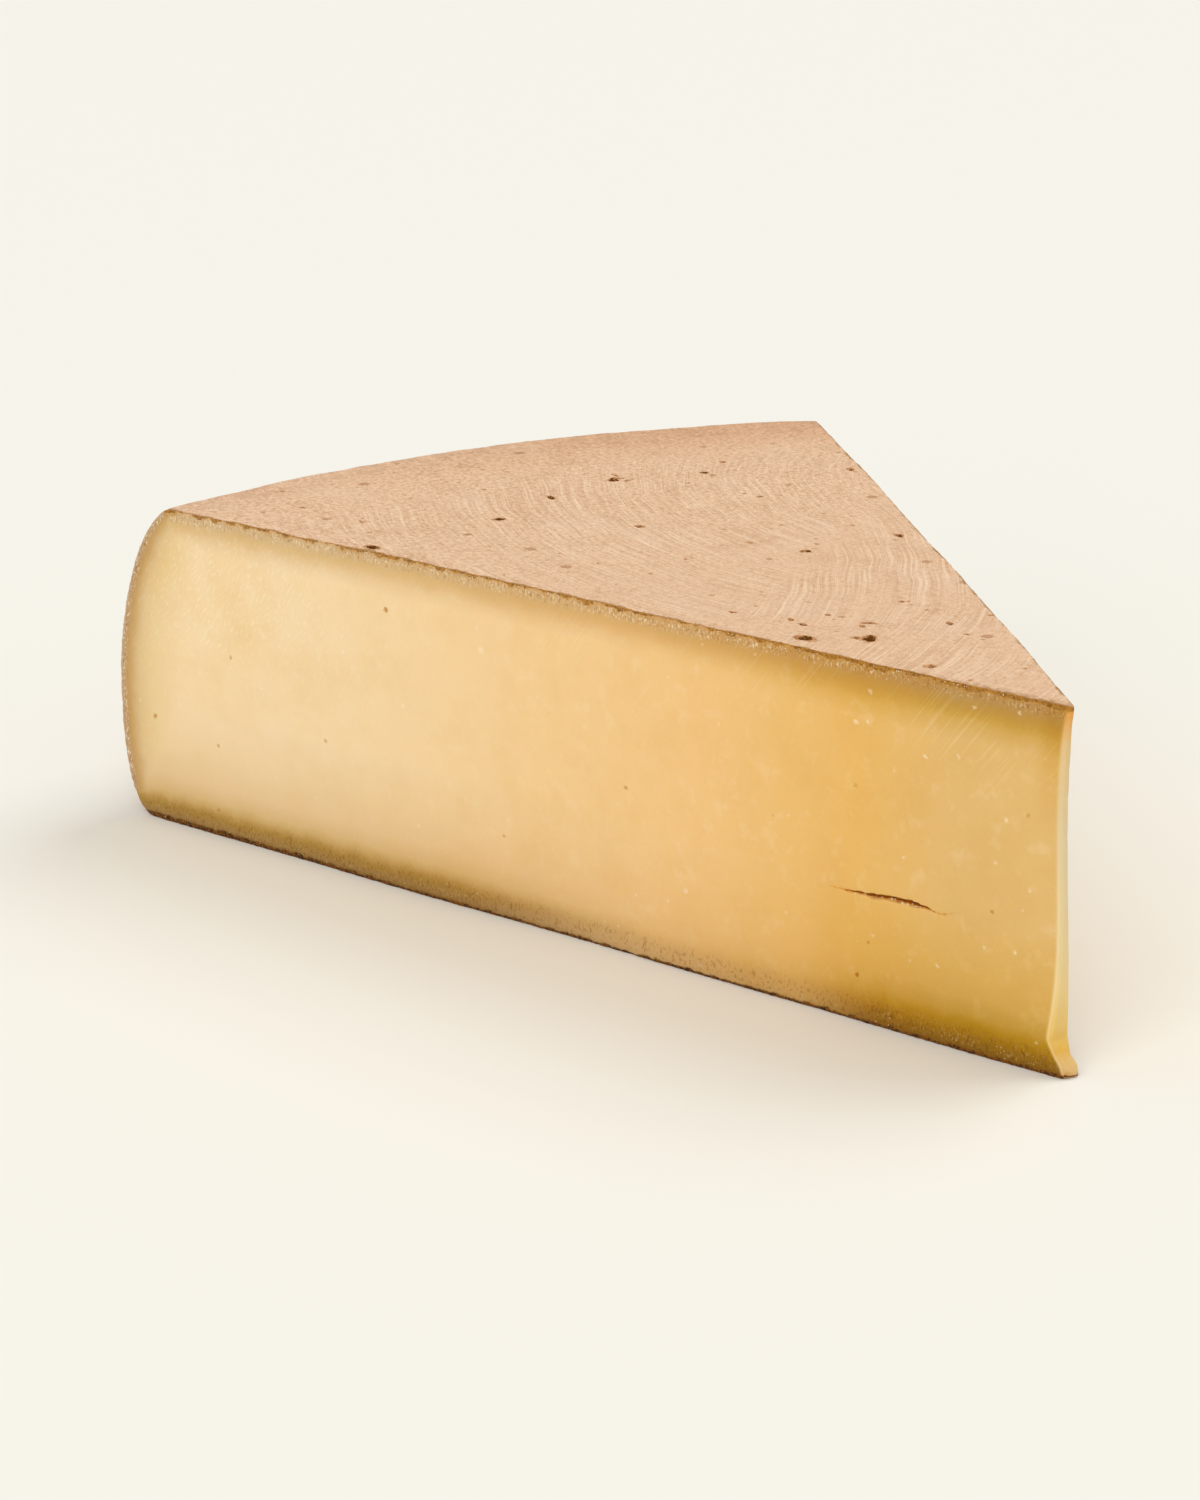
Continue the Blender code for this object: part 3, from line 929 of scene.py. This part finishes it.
# Colour of the blunt tip by height in mm, paler than the cut: partly its own colour, partly painted light on
# this side
TIP_TINTS_AND_PAINTED_LIGHT = (
    (0.0, "#CF9038"),
    (3.0, "#E2BE82"),
    (6.5, "#DFB254"),
    (13.0, "#E9C678"),
    (22.0, "#E8CF92"),
    (34.0, "#E2CE9E"),
    (60.0, "#DCCBA4"),
    (86.0, "#DFC28E"),
    (96.0, "#E8A040"),
)

# Thickness in mm of the torn brown line at the top edge of a cut, what it gains by the tip, and of the
# dark line at the foot, which is partly rind and partly painted contact shadow
CRUST_LINE, CRUST_LINE_TIP, FOOT_LINE_AND_SHADOW = 0.6, 0.7, 0.95

# Slope of the knife's marks on a cut: mm away from the axis for each mm down
KNIFE_SLOPE = 0.75

# Specks strewn in the materials: colour, strength, spacing, radius, share of cells that hold one and seed
PASTE_SPECKS = (
    ("#FBF0DC", 0.24, 13.0, 0.9, 0.5, 0.0),
    ("#FBF0DC", 0.2, 5.0, 0.4, 0.5, 31.0),
    ("#C98F48", 0.4, 16.0, 0.6, 0.5, 77.0),
)
RIND_SPECKS = (("#A2703F", 0.6, 11.0, 1.3, 0.6, 12.0), ("#A2703F", 0.6, 5.0, 0.8, 0.35, 45.0))

# Height of the bumps in the materials and how much of them shows
PASTE_BUMP = {"Distance": 0.3 * MM, "Strength": 0.6}
RIND_BUMP = {"Distance": 0.25 * MM, "Strength": 0.35}

PASTE_SHADER = {
    "IOR": 1.45,
    "Specular IOR Level": 0.15,
    "Subsurface Weight": 0.25,
    "Subsurface Radius": (1.0, 0.6, 0.25),
    "Subsurface Scale": 2.0 * MM,
}
RIND_SHADER = {"Roughness": 0.85, "IOR": 1.4, "Specular IOR Level": 0.12}


def paste_body(look):
    """Pale at the tip, golden beside it, butter yellow half way and cream at the heel, softly clouded. The
    golden tone is partly the paste's own colour, partly painted shade and painted warm reflected light.
    """
    sizes, colours, _ = settings()
    share = look.maths("DIVIDE", look.radius, sizes.heel_radius / MM)
    pastes = (colours.tip_paste, colours.golden_paste_and_painted_light, colours.middle_paste, colours.heel_paste)
    colour = look.add("ValToRGB", {0: share}, stops=zip(PASTE_SHARES, pastes))
    colour = look.darken(colour, "#FAF6EC", look.patches(0.4, 0.7, 14, 4, 0.6), 0.6)
    return look.paint(colour, "#F7E3BE", look.patches(0.52, 0.75, 5, 3, 0.6), 0.16)


def band_tints(look, depth, far, near):
    """The tint at that depth, from the tip's to that of the heel's half."""
    return look.blend(look.steps(look.radius, 15.0, 150.0), look.tint(depth, near), look.tint(depth, far))


def paste_bands(look, colour):
    """The darker band that follows the rind, golden near the tip; along the underside it is partly painted
    shade near the floor. Its depth wanders, but not at the edge.
    """
    wander = look.plus(look.uneven(3.4, 7, 3), look.uneven(1.0, 0.9))
    depths = (look.below_top, look.above_under, look.inside_heel)
    below, above, inside = (look.scaled(wander, look.steps(depth, 1.0, 6.0), depth) for depth in depths)
    # Partly painted shade near the floor
    foot = band_tints(look, above, *FOOT_TINTS_AND_SHADE)
    foot = look.paint(foot, "#FFFFFF", look.between(look.radius, 50, 80, 120, 200), 0.5)
    bands = look.tint(inside, HEEL_TINTS)
    for tints in (band_tints(look, below, *TOP_TINTS), foot):
        bands = look.blend(1.0, bands, tints, "DARKEN")
    return look.blend(1.0, colour, bands, "MULTIPLY")


def grain_band(look, colour):
    """Pale curd grains with darker gaps between them, just inside the rind. Gives the colour and the band."""
    shallow = look.maths("MINIMUM", look.below_top, look.times(look.above_under, 0.5))
    shallow = look.maths("MINIMUM", shallow, look.times(look.inside_heel, 1.3))
    band = look.between(shallow, 0.6, 1.0, 2.0, 4.4)
    clumps = look.scaled(look.patches(0.35, 0.6, 6), 0.7, 0.3)
    upright = look.add("VectorMath", {0: look.place, 1: (1.0, 1.0, 0.55)}, operation="MULTIPLY")
    grains = look.patches(0.52, 0.64, 0.55, 2, 0.6, upright)
    gaps = look.falls(look.mottle(0.7, 2, 0.6, upright), 0.34, 0.47)
    colour = look.darken(colour, "#B89A6C", gaps, band, 0.5)
    at_foot = look.falls(look.above_under, 9, 14)
    pale = look.paint(solid("#E3C795"), "#F3E3C6", look.steps(look.radius, 20, 120))
    pale = look.paint(pale, "#CFAE70", at_foot)
    strength = look.times(grains, band, clumps, look.scaled(at_foot, -0.45, 0.72))
    return look.blend(strength, colour, pale), band


def crust_line(look, colour):
    """The torn brown line at the top edge of a cut, the dark one at its foot, partly rind and partly painted
    contact shadow, and the grey one at the heel.
    """
    fray = look.uneven(1.8, 0.6, 3, 0.7)
    torn = look.plus(look.below_top, look.plus(fray, look.uneven(4.0, 4, 3)))
    thick = look.scaled(look.falls(look.radius, 20.0, 110.0), CRUST_LINE_TIP, CRUST_LINE)
    past = look.maths("SUBTRACT", torn, thick)
    colour = look.paint(colour, "#C08A35", look.falls(past, 0.1, 1.3), 0.4)
    flecks = look.patches(0.42, 0.62, 0.8)
    brown = look.paint(solid("#AC7626"), "#7A4E16", flecks)
    colour = look.blend(look.times(look.falls(past, -0.15, 0.2), 0.86), colour, brown)
    heel = look.scaled(fray, 0.5, look.inside_heel)
    colour = look.paint(colour, "#C0A98D", look.falls(heel, 0.4, 0.8), 0.8)
    # The dark line at the foot: partly rind, partly painted contact shadow
    foot = look.plus(look.scaled(fray, 0.5, look.above_under), look.uneven(2.0, 3, 3))
    foot = look.scaled(look.steps(look.radius, 200, 290), -0.7, foot)
    under = look.paint(solid("#7A4A14"), "#3A220C", flecks)
    return look.blend(look.falls(foot, FOOT_LINE_AND_SHADOW - 0.3, FOOT_LINE_AND_SHADOW + 0.4), colour, under)


def knife_marks(look, colour):
    """Slanted marks of the knife: hatching under the rind, long lines, and smears with stains by the heel.
    The smears' pale tone is partly real smearing and partly painted glints.
    """
    across = look.scaled(look.height, KNIFE_SLOPE, look.radius)
    along = look.scaled(look.radius, -KNIFE_SLOPE, look.height)
    hatching = look.steps(look.streaks(across, along, 0.6, 40, 3.0), 0.54, 0.7)
    there = look.times(look.patches(0.46, 0.6, 22, 1), look.falls(look.below_top, 9, 30))
    colour = look.paint(colour, "#F6E2BC", hatching, there, 0.24)
    long_ones = look.steps(look.streaks(across, along, 1.4, 90, 8.0), 0.71, 0.76)
    colour = look.paint(colour, "#FAEBCD", long_ones, look.patches(0.5, 0.58, 35, 1), 0.2)
    smears = look.streaks(across, along, 0.8, 3.2, 12.0, 3.0)
    by_heel = look.times(look.steps(look.radius, 205, 275), look.steps(look.height, 35, 75))
    # The smears' pale tone: partly real smearing, partly painted glints
    colour = look.paint(colour, "#FFF4DE", look.steps(smears, 0.5, 0.72), look.scaled(by_heel, 0.34, 0.03))
    colour = look.darken(colour, "#F8EBCE", look.patches(0.4, 0.75, 22), by_heel, 0.5)
    return colour, smears


def hollow_colour(look, colour, edge, core):
    """Ragged brown surround of pits and of the split, and their dark inside, which is partly brown and partly
    painted shade.
    """
    hollow_brown_and_shade = look.add("Attribute", {}, "Fac", attribute_name="hollow_brown_and_shade")
    ragged = look.plus(look.uneven(0.55, 0.55, 2, 0.7), look.uneven(0.75, 1.8, 2, 0.6))
    frayed = look.scaled(ragged, look.steps(hollow_brown_and_shade, 0.0, 0.25), hollow_brown_and_shade)
    colour = look.blend(look.times(look.steps(frayed, 0.28, 0.42), 0.7), colour, edge)
    return look.blend(look.steps(frayed, 0.5, 0.62), colour, core)


def tip_colour(look, colour):
    """The blunt tip is paler than the cut, partly its own colour and partly painted light, golden at its foot
    and orange at its top, with a painted highlight line along its edge beside the cut.
    """
    own = look.tint(look.plus(look.height, look.uneven(6.0, 4)), TIP_TINTS_AND_PAINTED_LIGHT)
    colour = look.blend(look.times(look.falls(look.from_tip, 0.2, 1.8), 0.85), colour, own)
    beside = look.between(look.from_tip, 0.6, 1.6, 3.5, 9.0)
    colour = look.darken(colour, "#F2E4A4", beside, look.steps(look.height, 60, 84), 0.6)
    # A pale line where the tip meets the cut: a painted highlight
    rim = look.between(look.from_tip, 0.1, 0.4, 0.7, 1.3)
    return look.paint(colour, "#F3DFAE", rim, look.falls(look.height, 40, 75), 0.3)


def paste_material():
    """Pressed cheese paste, knife cut: a satin, slightly translucent cream that turns golden at the tip."""
    look = Look("pressed_cheese_paste")
    look.locate()
    look.measure()
    colour, smears = knife_marks(look, paste_body(look))
    colour, band = grain_band(look, paste_bands(look, colour))
    colour = crust_line(look, tip_colour(look, look.strew(colour, PASTE_SPECKS)))
    eyes = look.scaled(look.mottle(0.5, 1), 0.5, look.add("Attribute", {}, "Fac", attribute_name="eyes"))
    colour = look.paint(colour, "#B87618", look.steps(eyes, 0.45, 1.3))
    pale = look.add("Attribute", {}, "Fac", attribute_name="pale")
    colour = look.paint(colour, "#FFF0D4", pale, 0.38)
    # The split's dark inside is partly painted shade
    colour = hollow_colour(look, colour, solid("#DA9A40"), solid("#B06A14"))
    relief = look.scaled(smears, 0.35, look.times(look.mottle(0.6, 3, 0.65), band))
    normal = look.add("Bump", {"Height": relief, **PASTE_BUMP})
    roughness = look.scaled(band, 0.25, 0.46)
    return look.shade({"Base Color": colour, "Normal": normal, "Roughness": roughness, **PASTE_SHADER})


# Brush strokes on the rind run in arcs round two centres, in mm from the wheel's axis. The first family
# lies on the heel's side of a slanting line, the second on the tip's side.
STROKE_CENTRES = ((-170.0, 150.0), (-235.0, -142.0))
STROKE_SPLIT, STROKE_SPLIT_LEVEL, STROKE_SPLIT_FADE = (0.785, 0.62), -101.0, 12.0
STROKE_WIDTH, STROKE_FINE, STROKE_RUN, STROKE_FINE_RUN, ARC_RADIUS = 0.95, 0.42, 70.0, 28.0, 200.0


def arc_strokes(look, seed, centre):
    """Wide and fine streaks that run round a centre."""
    place = look.moved(look.place, (-centre[0], -centre[1], 0))
    x, y, _ = look.add("SeparateXYZ", {0: place}, None)
    across = look.scaled(look.mottle(34, 1), 5.5, look.flat_length(place))
    along = look.times(look.maths("ARCTAN2", y, x), ARC_RADIUS)
    wide = look.streaks(across, along, STROKE_WIDTH, STROKE_RUN, 4.0 * seed, 2.0)
    fine = look.streaks(across, along, STROKE_FINE, STROKE_FINE_RUN, 9.0 + 4.0 * seed, 2.0)
    return look.times(look.plus(wide, fine), 0.5)


def brush_strokes(look):
    """Fine arcs that a brush left on the rind: how pale and how dark each place is."""
    side = look.scaled(look.x, STROKE_SPLIT[0], look.times(look.y, STROKE_SPLIT[1]))
    side = look.plus(side, look.uneven(30.0, 30))
    low, high = STROKE_SPLIT_LEVEL - STROKE_SPLIT_FADE, STROKE_SPLIT_LEVEL + STROKE_SPLIT_FADE
    under, over = (arc_strokes(look, seed, centre) for seed, centre in enumerate(STROKE_CENTRES))
    strokes = look.add("Mix", {0: look.steps(side, low, high), 2: under, 3: over}, data_type="FLOAT")
    there = look.scaled(look.patches(0.34, 0.6, 26), 0.6, 0.4)
    there = look.times(there, look.falls(look.radius, 235, 285))
    pale = look.times(look.steps(strokes, 0.51, 0.62), there)
    return pale, look.times(look.falls(strokes, 0.38, 0.49), there)


def rind_body(look, light, dark):
    """Pinkish tan with darker blotches and clumps, crumbly towards the heel, powdery in patches."""
    colour = look.blend(look.times(look.patches(0.46, 0.72, 12, 5, 0.62), 0.4), light, dark)
    colour = look.paint(colour, "#C8986C", look.patches(0.5, 0.68, 2.6, 4, 0.65), 0.4)
    crumbly = look.mottle(1.5, 4, 0.72)
    coarse = look.scaled(look.steps(look.radius, 120, 240), 0.3, 0.22)
    colour = look.paint(colour, "#B0835C", look.steps(crumbly, 0.52, 0.62), coarse)
    colour = look.paint(colour, "#F2D6BC", look.falls(crumbly, 0.38, 0.48), coarse)
    return look.paint(colour, "#EACDB1", look.patches(0.52, 0.7, 24, 3), 0.3)


def rind_edges(look, colour):
    """Darker mottling towards the heel, and a torn brown border along the cuts and at the tip."""
    aside = look.steps(look.y, -100.0, 80.0)
    colour = look.darken(colour, "#F4E9E0", look.falls(look.inside_heel, 6.0, 50.0), aside)
    brown = look.times(look.falls(look.inside_heel, 0.0, 22.0), look.patches(0.42, 0.6, 5, 5, 0.7))
    colour = look.paint(colour, "#B58F72", brown, 0.45)
    fray = look.plus(look.uneven(2.2, 0.8, 3, 0.7), look.uneven(3.0, 7))
    nearest = look.plus(look.maths("MINIMUM", look.inside_front, look.inside_back), fray)
    colour = look.paint(colour, "#95692F", look.falls(nearest, 0.1, 0.7), 0.75)
    at_tip = look.times(look.falls(look.radius, 20, 60), look.falls(look.inside_front, 0.6, 3.6))
    return look.paint(colour, "#A5784A", at_tip, look.patches(0.35, 0.6, 1.6, 3), 0.7)


def rind_material():
    """Natural brushed rind, dry: matte pinkish tan, powdery, with fine brush arcs, brown flecks and pits."""
    colours = settings()[1]
    look = Look("brushed_natural_rind")
    look.locate()
    look.measure()
    dark = (*colours.rind_dark, 1)
    colour = rind_body(look, (*colours.rind, 1), dark)
    pale, grooves = brush_strokes(look)
    colour = look.blend(look.times(grooves, 0.34), colour, dark)
    colour = look.paint(colour, "#F6DCBD", pale, 0.5)
    grain = look.mottle(0.7, 3, 0.7)
    colour = look.paint(colour, "#B98A60", look.steps(grain, 0.54, 0.7), 0.45)
    colour = look.paint(colour, "#F3D8BC", look.falls(grain, 0.32, 0.46), 0.42)
    colour = rind_edges(look, look.strew(colour, RIND_SPECKS))
    # The pits' dark inside is partly painted shade
    colour = hollow_colour(look, colour, (*colours.pit_edge, 1), (*colours.pit, 1))
    relief = look.scaled(pale, 0.7, look.scaled(grooves, -0.7, grain))
    normal = look.add("Bump", {"Height": relief, **RIND_BUMP})
    return look.shade({"Base Color": colour, "Normal": normal, **RIND_SHADER})


def crumb_material():
    """Dry crumbs of curd and crust: matte, whitish with tan ones between."""
    look = Look("dry_crust_crumb")
    look.locate()
    colour = look.paint(solid("#C59D66"), "#E8D2AC", look.patches(0.42, 0.6, 1.6))
    colour = look.paint(colour, "#BE9650", look.falls(look.height, 8, 14), 0.75)
    return look.shade({"Base Color": colour, "Roughness": 0.7})


def crumb_places(body, sizes):
    """Points of the cuts that carry a crumb, by a seeded draw: in the crust bands and on the split's lip."""
    mesh = body.data
    depths = read_attribute(mesh, "depths", 3)
    below_top, above_under, inside_heel = depths.T
    front, back, tip = read_attribute(mesh, "edges", 3).T
    hollow_brown_and_shade = read_attribute(mesh, "hollow_brown_and_shade", 1)[:, 0]
    points = read_points(mesh)
    along = np.hypot(*((points - np.array(axis_place())) / MM).T[:2])
    on_cut = (np.minimum(front, back) < ON_FACE) & (tip > 2)
    shallow = np.minimum(np.minimum(below_top, above_under * 0.5), inside_heel * 1.6)
    banded = on_cut & (shallow > CRUMB_BAND[0]) & (shallow < CRUMB_BAND[1])
    clusters = wave(along, above_under, CRUMB_SEED, 1.0, CRUMB_CLUSTER_LENGTH)
    likely = np.where(banded, np.exp(-shallow / CRUMB_FADE) * np.exp(CRUMB_CLUSTER * clusters), 0.0)
    likely *= np.where(above_under < CRUMB_FOOT, CRUMBS_AT_FOOT, 1.0)
    level = np.interp(along, SPLIT_AT, SPLIT_LEVELS)
    lip = on_cut & (front < ON_FACE) & (hollow_brown_and_shade > 0.3) & (hollow_brown_and_shade < 0.6) & (above_under < level)
    lip &= (along > SPLIT_LIP[0]) & (along < SPLIT_LIP[1])
    draw = np.random.default_rng(sizes.seed + 2)
    picked = draw.choice(len(points), sizes.crumbs, replace=False, p=likely / likely.sum())
    on_lip = draw.choice(np.flatnonzero(lip), SPLIT_CRUMBS, replace=False)
    return points[np.concatenate((picked, on_lip))], draw


def read_attribute(mesh, name, width):
    """A point attribute as rows of that many values."""
    values = np.zeros(len(mesh.vertices) * width, np.float32)
    mesh.attributes[name].data.foreach_get("vector" if width == 3 else "value", values)
    return values.reshape(-1, width).astype(float)


def build_crumbs(body, sizes):
    """One lumpy crumb, repeated by an array, each copy turned, sized and put on the crust."""
    places, draw = crumb_places(body, sizes)
    bpy.ops.object.select_all(action="DESELECT")
    bpy.ops.mesh.primitive_ico_sphere_add(subdivisions=1, radius=1)
    piece = bpy.context.object
    piece.name = "crust_crumbs"
    piece.data.name = "crust_crumbs"
    copies = piece.modifiers.new("copies", "ARRAY")
    copies.count = len(places)
    copies.relative_offset_displace = (2, 0, 0)
    bpy.ops.object.modifier_apply(modifier="copies")
    points = read_points(piece.data).reshape(len(places), -1, 3)
    points -= points.mean(axis=1, keepdims=True)
    lumps = draw.uniform(*CRUMB_LUMPS, points.shape[:2])[:, :, None]
    widths = draw.uniform(*CRUMB_RADIUS, (len(places), 1, 1)) * MM
    widths[-SPLIT_CRUMBS:] *= SPLIT_CRUMB_SIZE
    squash = draw.uniform(*CRUMB_SQUASH, (len(places), 1, 3))
    points = points * lumps * widths * squash + places[:, None, :]
    write_points(piece.data, points.reshape(-1, 3))
    select_only(piece)
    bpy.ops.object.shade_smooth()
    return piece


class CHEESE_OT_body(bpy.types.Operator):
    """Builds the wedge of cheese with its rind and its cuts"""

    bl_idname = "cheese.body"
    bl_label = "Cheese body"
    bl_options = {"REGISTER", "UNDO"}

    def execute(self, context):
        body = build_body(context.scene.cheese_sizes)
        body.data.materials.append(rind_material())
        body.data.materials.append(paste_material())
        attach(body, "root")
        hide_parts(NODE)
        return {"FINISHED"}


class CHEESE_OT_crumbs(bpy.types.Operator):
    """Strews crumbs along the cut crust"""

    bl_idname = "cheese.crumbs"
    bl_label = "Crust crumbs"
    bl_options = {"REGISTER", "UNDO"}

    def execute(self, context):
        body = bpy.data.objects.get("cheese_body")
        if body is None:
            raise RuntimeError("build the cheese body before its crumbs")
        crumbs = build_crumbs(body, context.scene.cheese_sizes)
        crumbs.data.materials.append(crumb_material())
        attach(crumbs, "root")
        return {"FINISHED"}


def floor_material():
    """Matte painted board, off-white."""
    colour = (*settings()[2].floor, 1)
    board = {"Base Color": colour, "Roughness": 0.9, "Specular IOR Level": 0.2}
    return Look("matte_white_board").shade(board)


def add_floor():
    bpy.ops.object.select_all(action="DESELECT")
    bpy.ops.mesh.primitive_circle_add(vertices=96, radius=9, fill_type="NGON", location=(0, 0, 0))
    floor = bpy.context.object
    floor.name = "pale_floor"
    floor.data.materials.append(floor_material())
    floor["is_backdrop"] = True


def add_camera(stage):
    data = bpy.data.cameras.new("photo_view")
    data.lens = stage.lens
    data.sensor_width = 36
    camera = bpy.data.objects.new("photo_view", data)
    bpy.context.scene.collection.objects.link(camera)
    camera.location = axis_place() + Vector(stage.camera_from_axis)
    camera.rotation_euler = (stage.pitch, 0, stage.heading)
    bpy.context.scene.camera = camera


# Soft suns: name, where the light comes from, irradiance, angle in degrees and colour
SUNS = (
    ("soft_key", (0.01, 0.92, 1.3), 1.1, 40, "#FFFDF8"),
    ("soft_fill", (0.62, -0.75, 0.75), 1.36, 60, "#FFFEFB"),
)


def add_suns():
    for name, direction, strength, angle, colour in SUNS:
        data = bpy.data.lights.new(name, "SUN")
        data.energy = strength
        data.angle = radians(angle)
        data.color = linear(colour)
        lamp = bpy.data.objects.new(name, data)
        bpy.context.scene.collection.objects.link(lamp)
        lamp.location = Vector(direction)
        lamp.rotation_mode = "QUATERNION"
        lamp.rotation_quaternion = Vector(direction).to_track_quat("Z", "Y")


def add_world():
    world = bpy.data.worlds.new("soft_room")
    world.use_nodes = True
    background = world.node_tree.nodes["Background"]
    background.inputs["Color"].default_value = solid("#FFFFFE")
    background.inputs["Strength"].default_value = 0.55
    bpy.context.scene.world = world


class CHEESE_OT_stage(bpy.types.Operator):
    """Adds the pale floor, the soft lights and the camera"""

    bl_idname = "cheese.stage"
    bl_label = "Stage"
    bl_options = {"REGISTER", "UNDO"}

    def execute(self, context):
        add_floor()
        add_camera(context.scene.cheese_stage)
        add_suns()
        add_world()
        context.scene.view_settings.view_transform = "Standard"
        return {"FINISHED"}


class CHEESE_PT_panel(bpy.types.Panel):
    """Lists what can be built and its sizes"""

    bl_idname = "CHEESE_PT_panel"
    bl_label = "Cheese wedge"
    bl_space_type = "VIEW_3D"
    bl_region_type = "UI"
    bl_category = "Cheese"

    def draw(self, context):
        for group in (context.scene.cheese_sizes, context.scene.cheese_colours, context.scene.cheese_stage):
            for name in group.__annotations__:
                self.layout.prop(group, name)
        for operator in OPERATORS:
            self.layout.operator(operator.bl_idname)


OPERATORS = (CHEESE_OT_body, CHEESE_OT_crumbs, CHEESE_OT_stage)
CLASSES = (WedgeSizes, WedgeColours, StageSettings, *OPERATORS, CHEESE_PT_panel)


def register():
    for made in CLASSES:
        bpy.utils.register_class(made)
    bpy.types.Scene.cheese_sizes = bpy.props.PointerProperty(type=WedgeSizes)
    bpy.types.Scene.cheese_colours = bpy.props.PointerProperty(type=WedgeColours)
    bpy.types.Scene.cheese_stage = bpy.props.PointerProperty(type=StageSettings)


def unregister():
    del bpy.types.Scene.cheese_stage
    del bpy.types.Scene.cheese_colours
    del bpy.types.Scene.cheese_sizes
    for made in reversed(CLASSES):
        bpy.utils.unregister_class(made)


def write_sizes():
    """Gathers the CAD model's box and the visual model's."""
    boxes = {"cad": CAD_BOUNDS, "visual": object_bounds()}
    {name: [list(corner) for corner in box] for name, box in boxes.items()}


def main():
    register()
    bpy.ops.cheese.body()
    bpy.ops.cheese.crumbs()
    bpy.ops.cheese.stage()
    write_sizes()


if __name__ == "__main__":
    main()
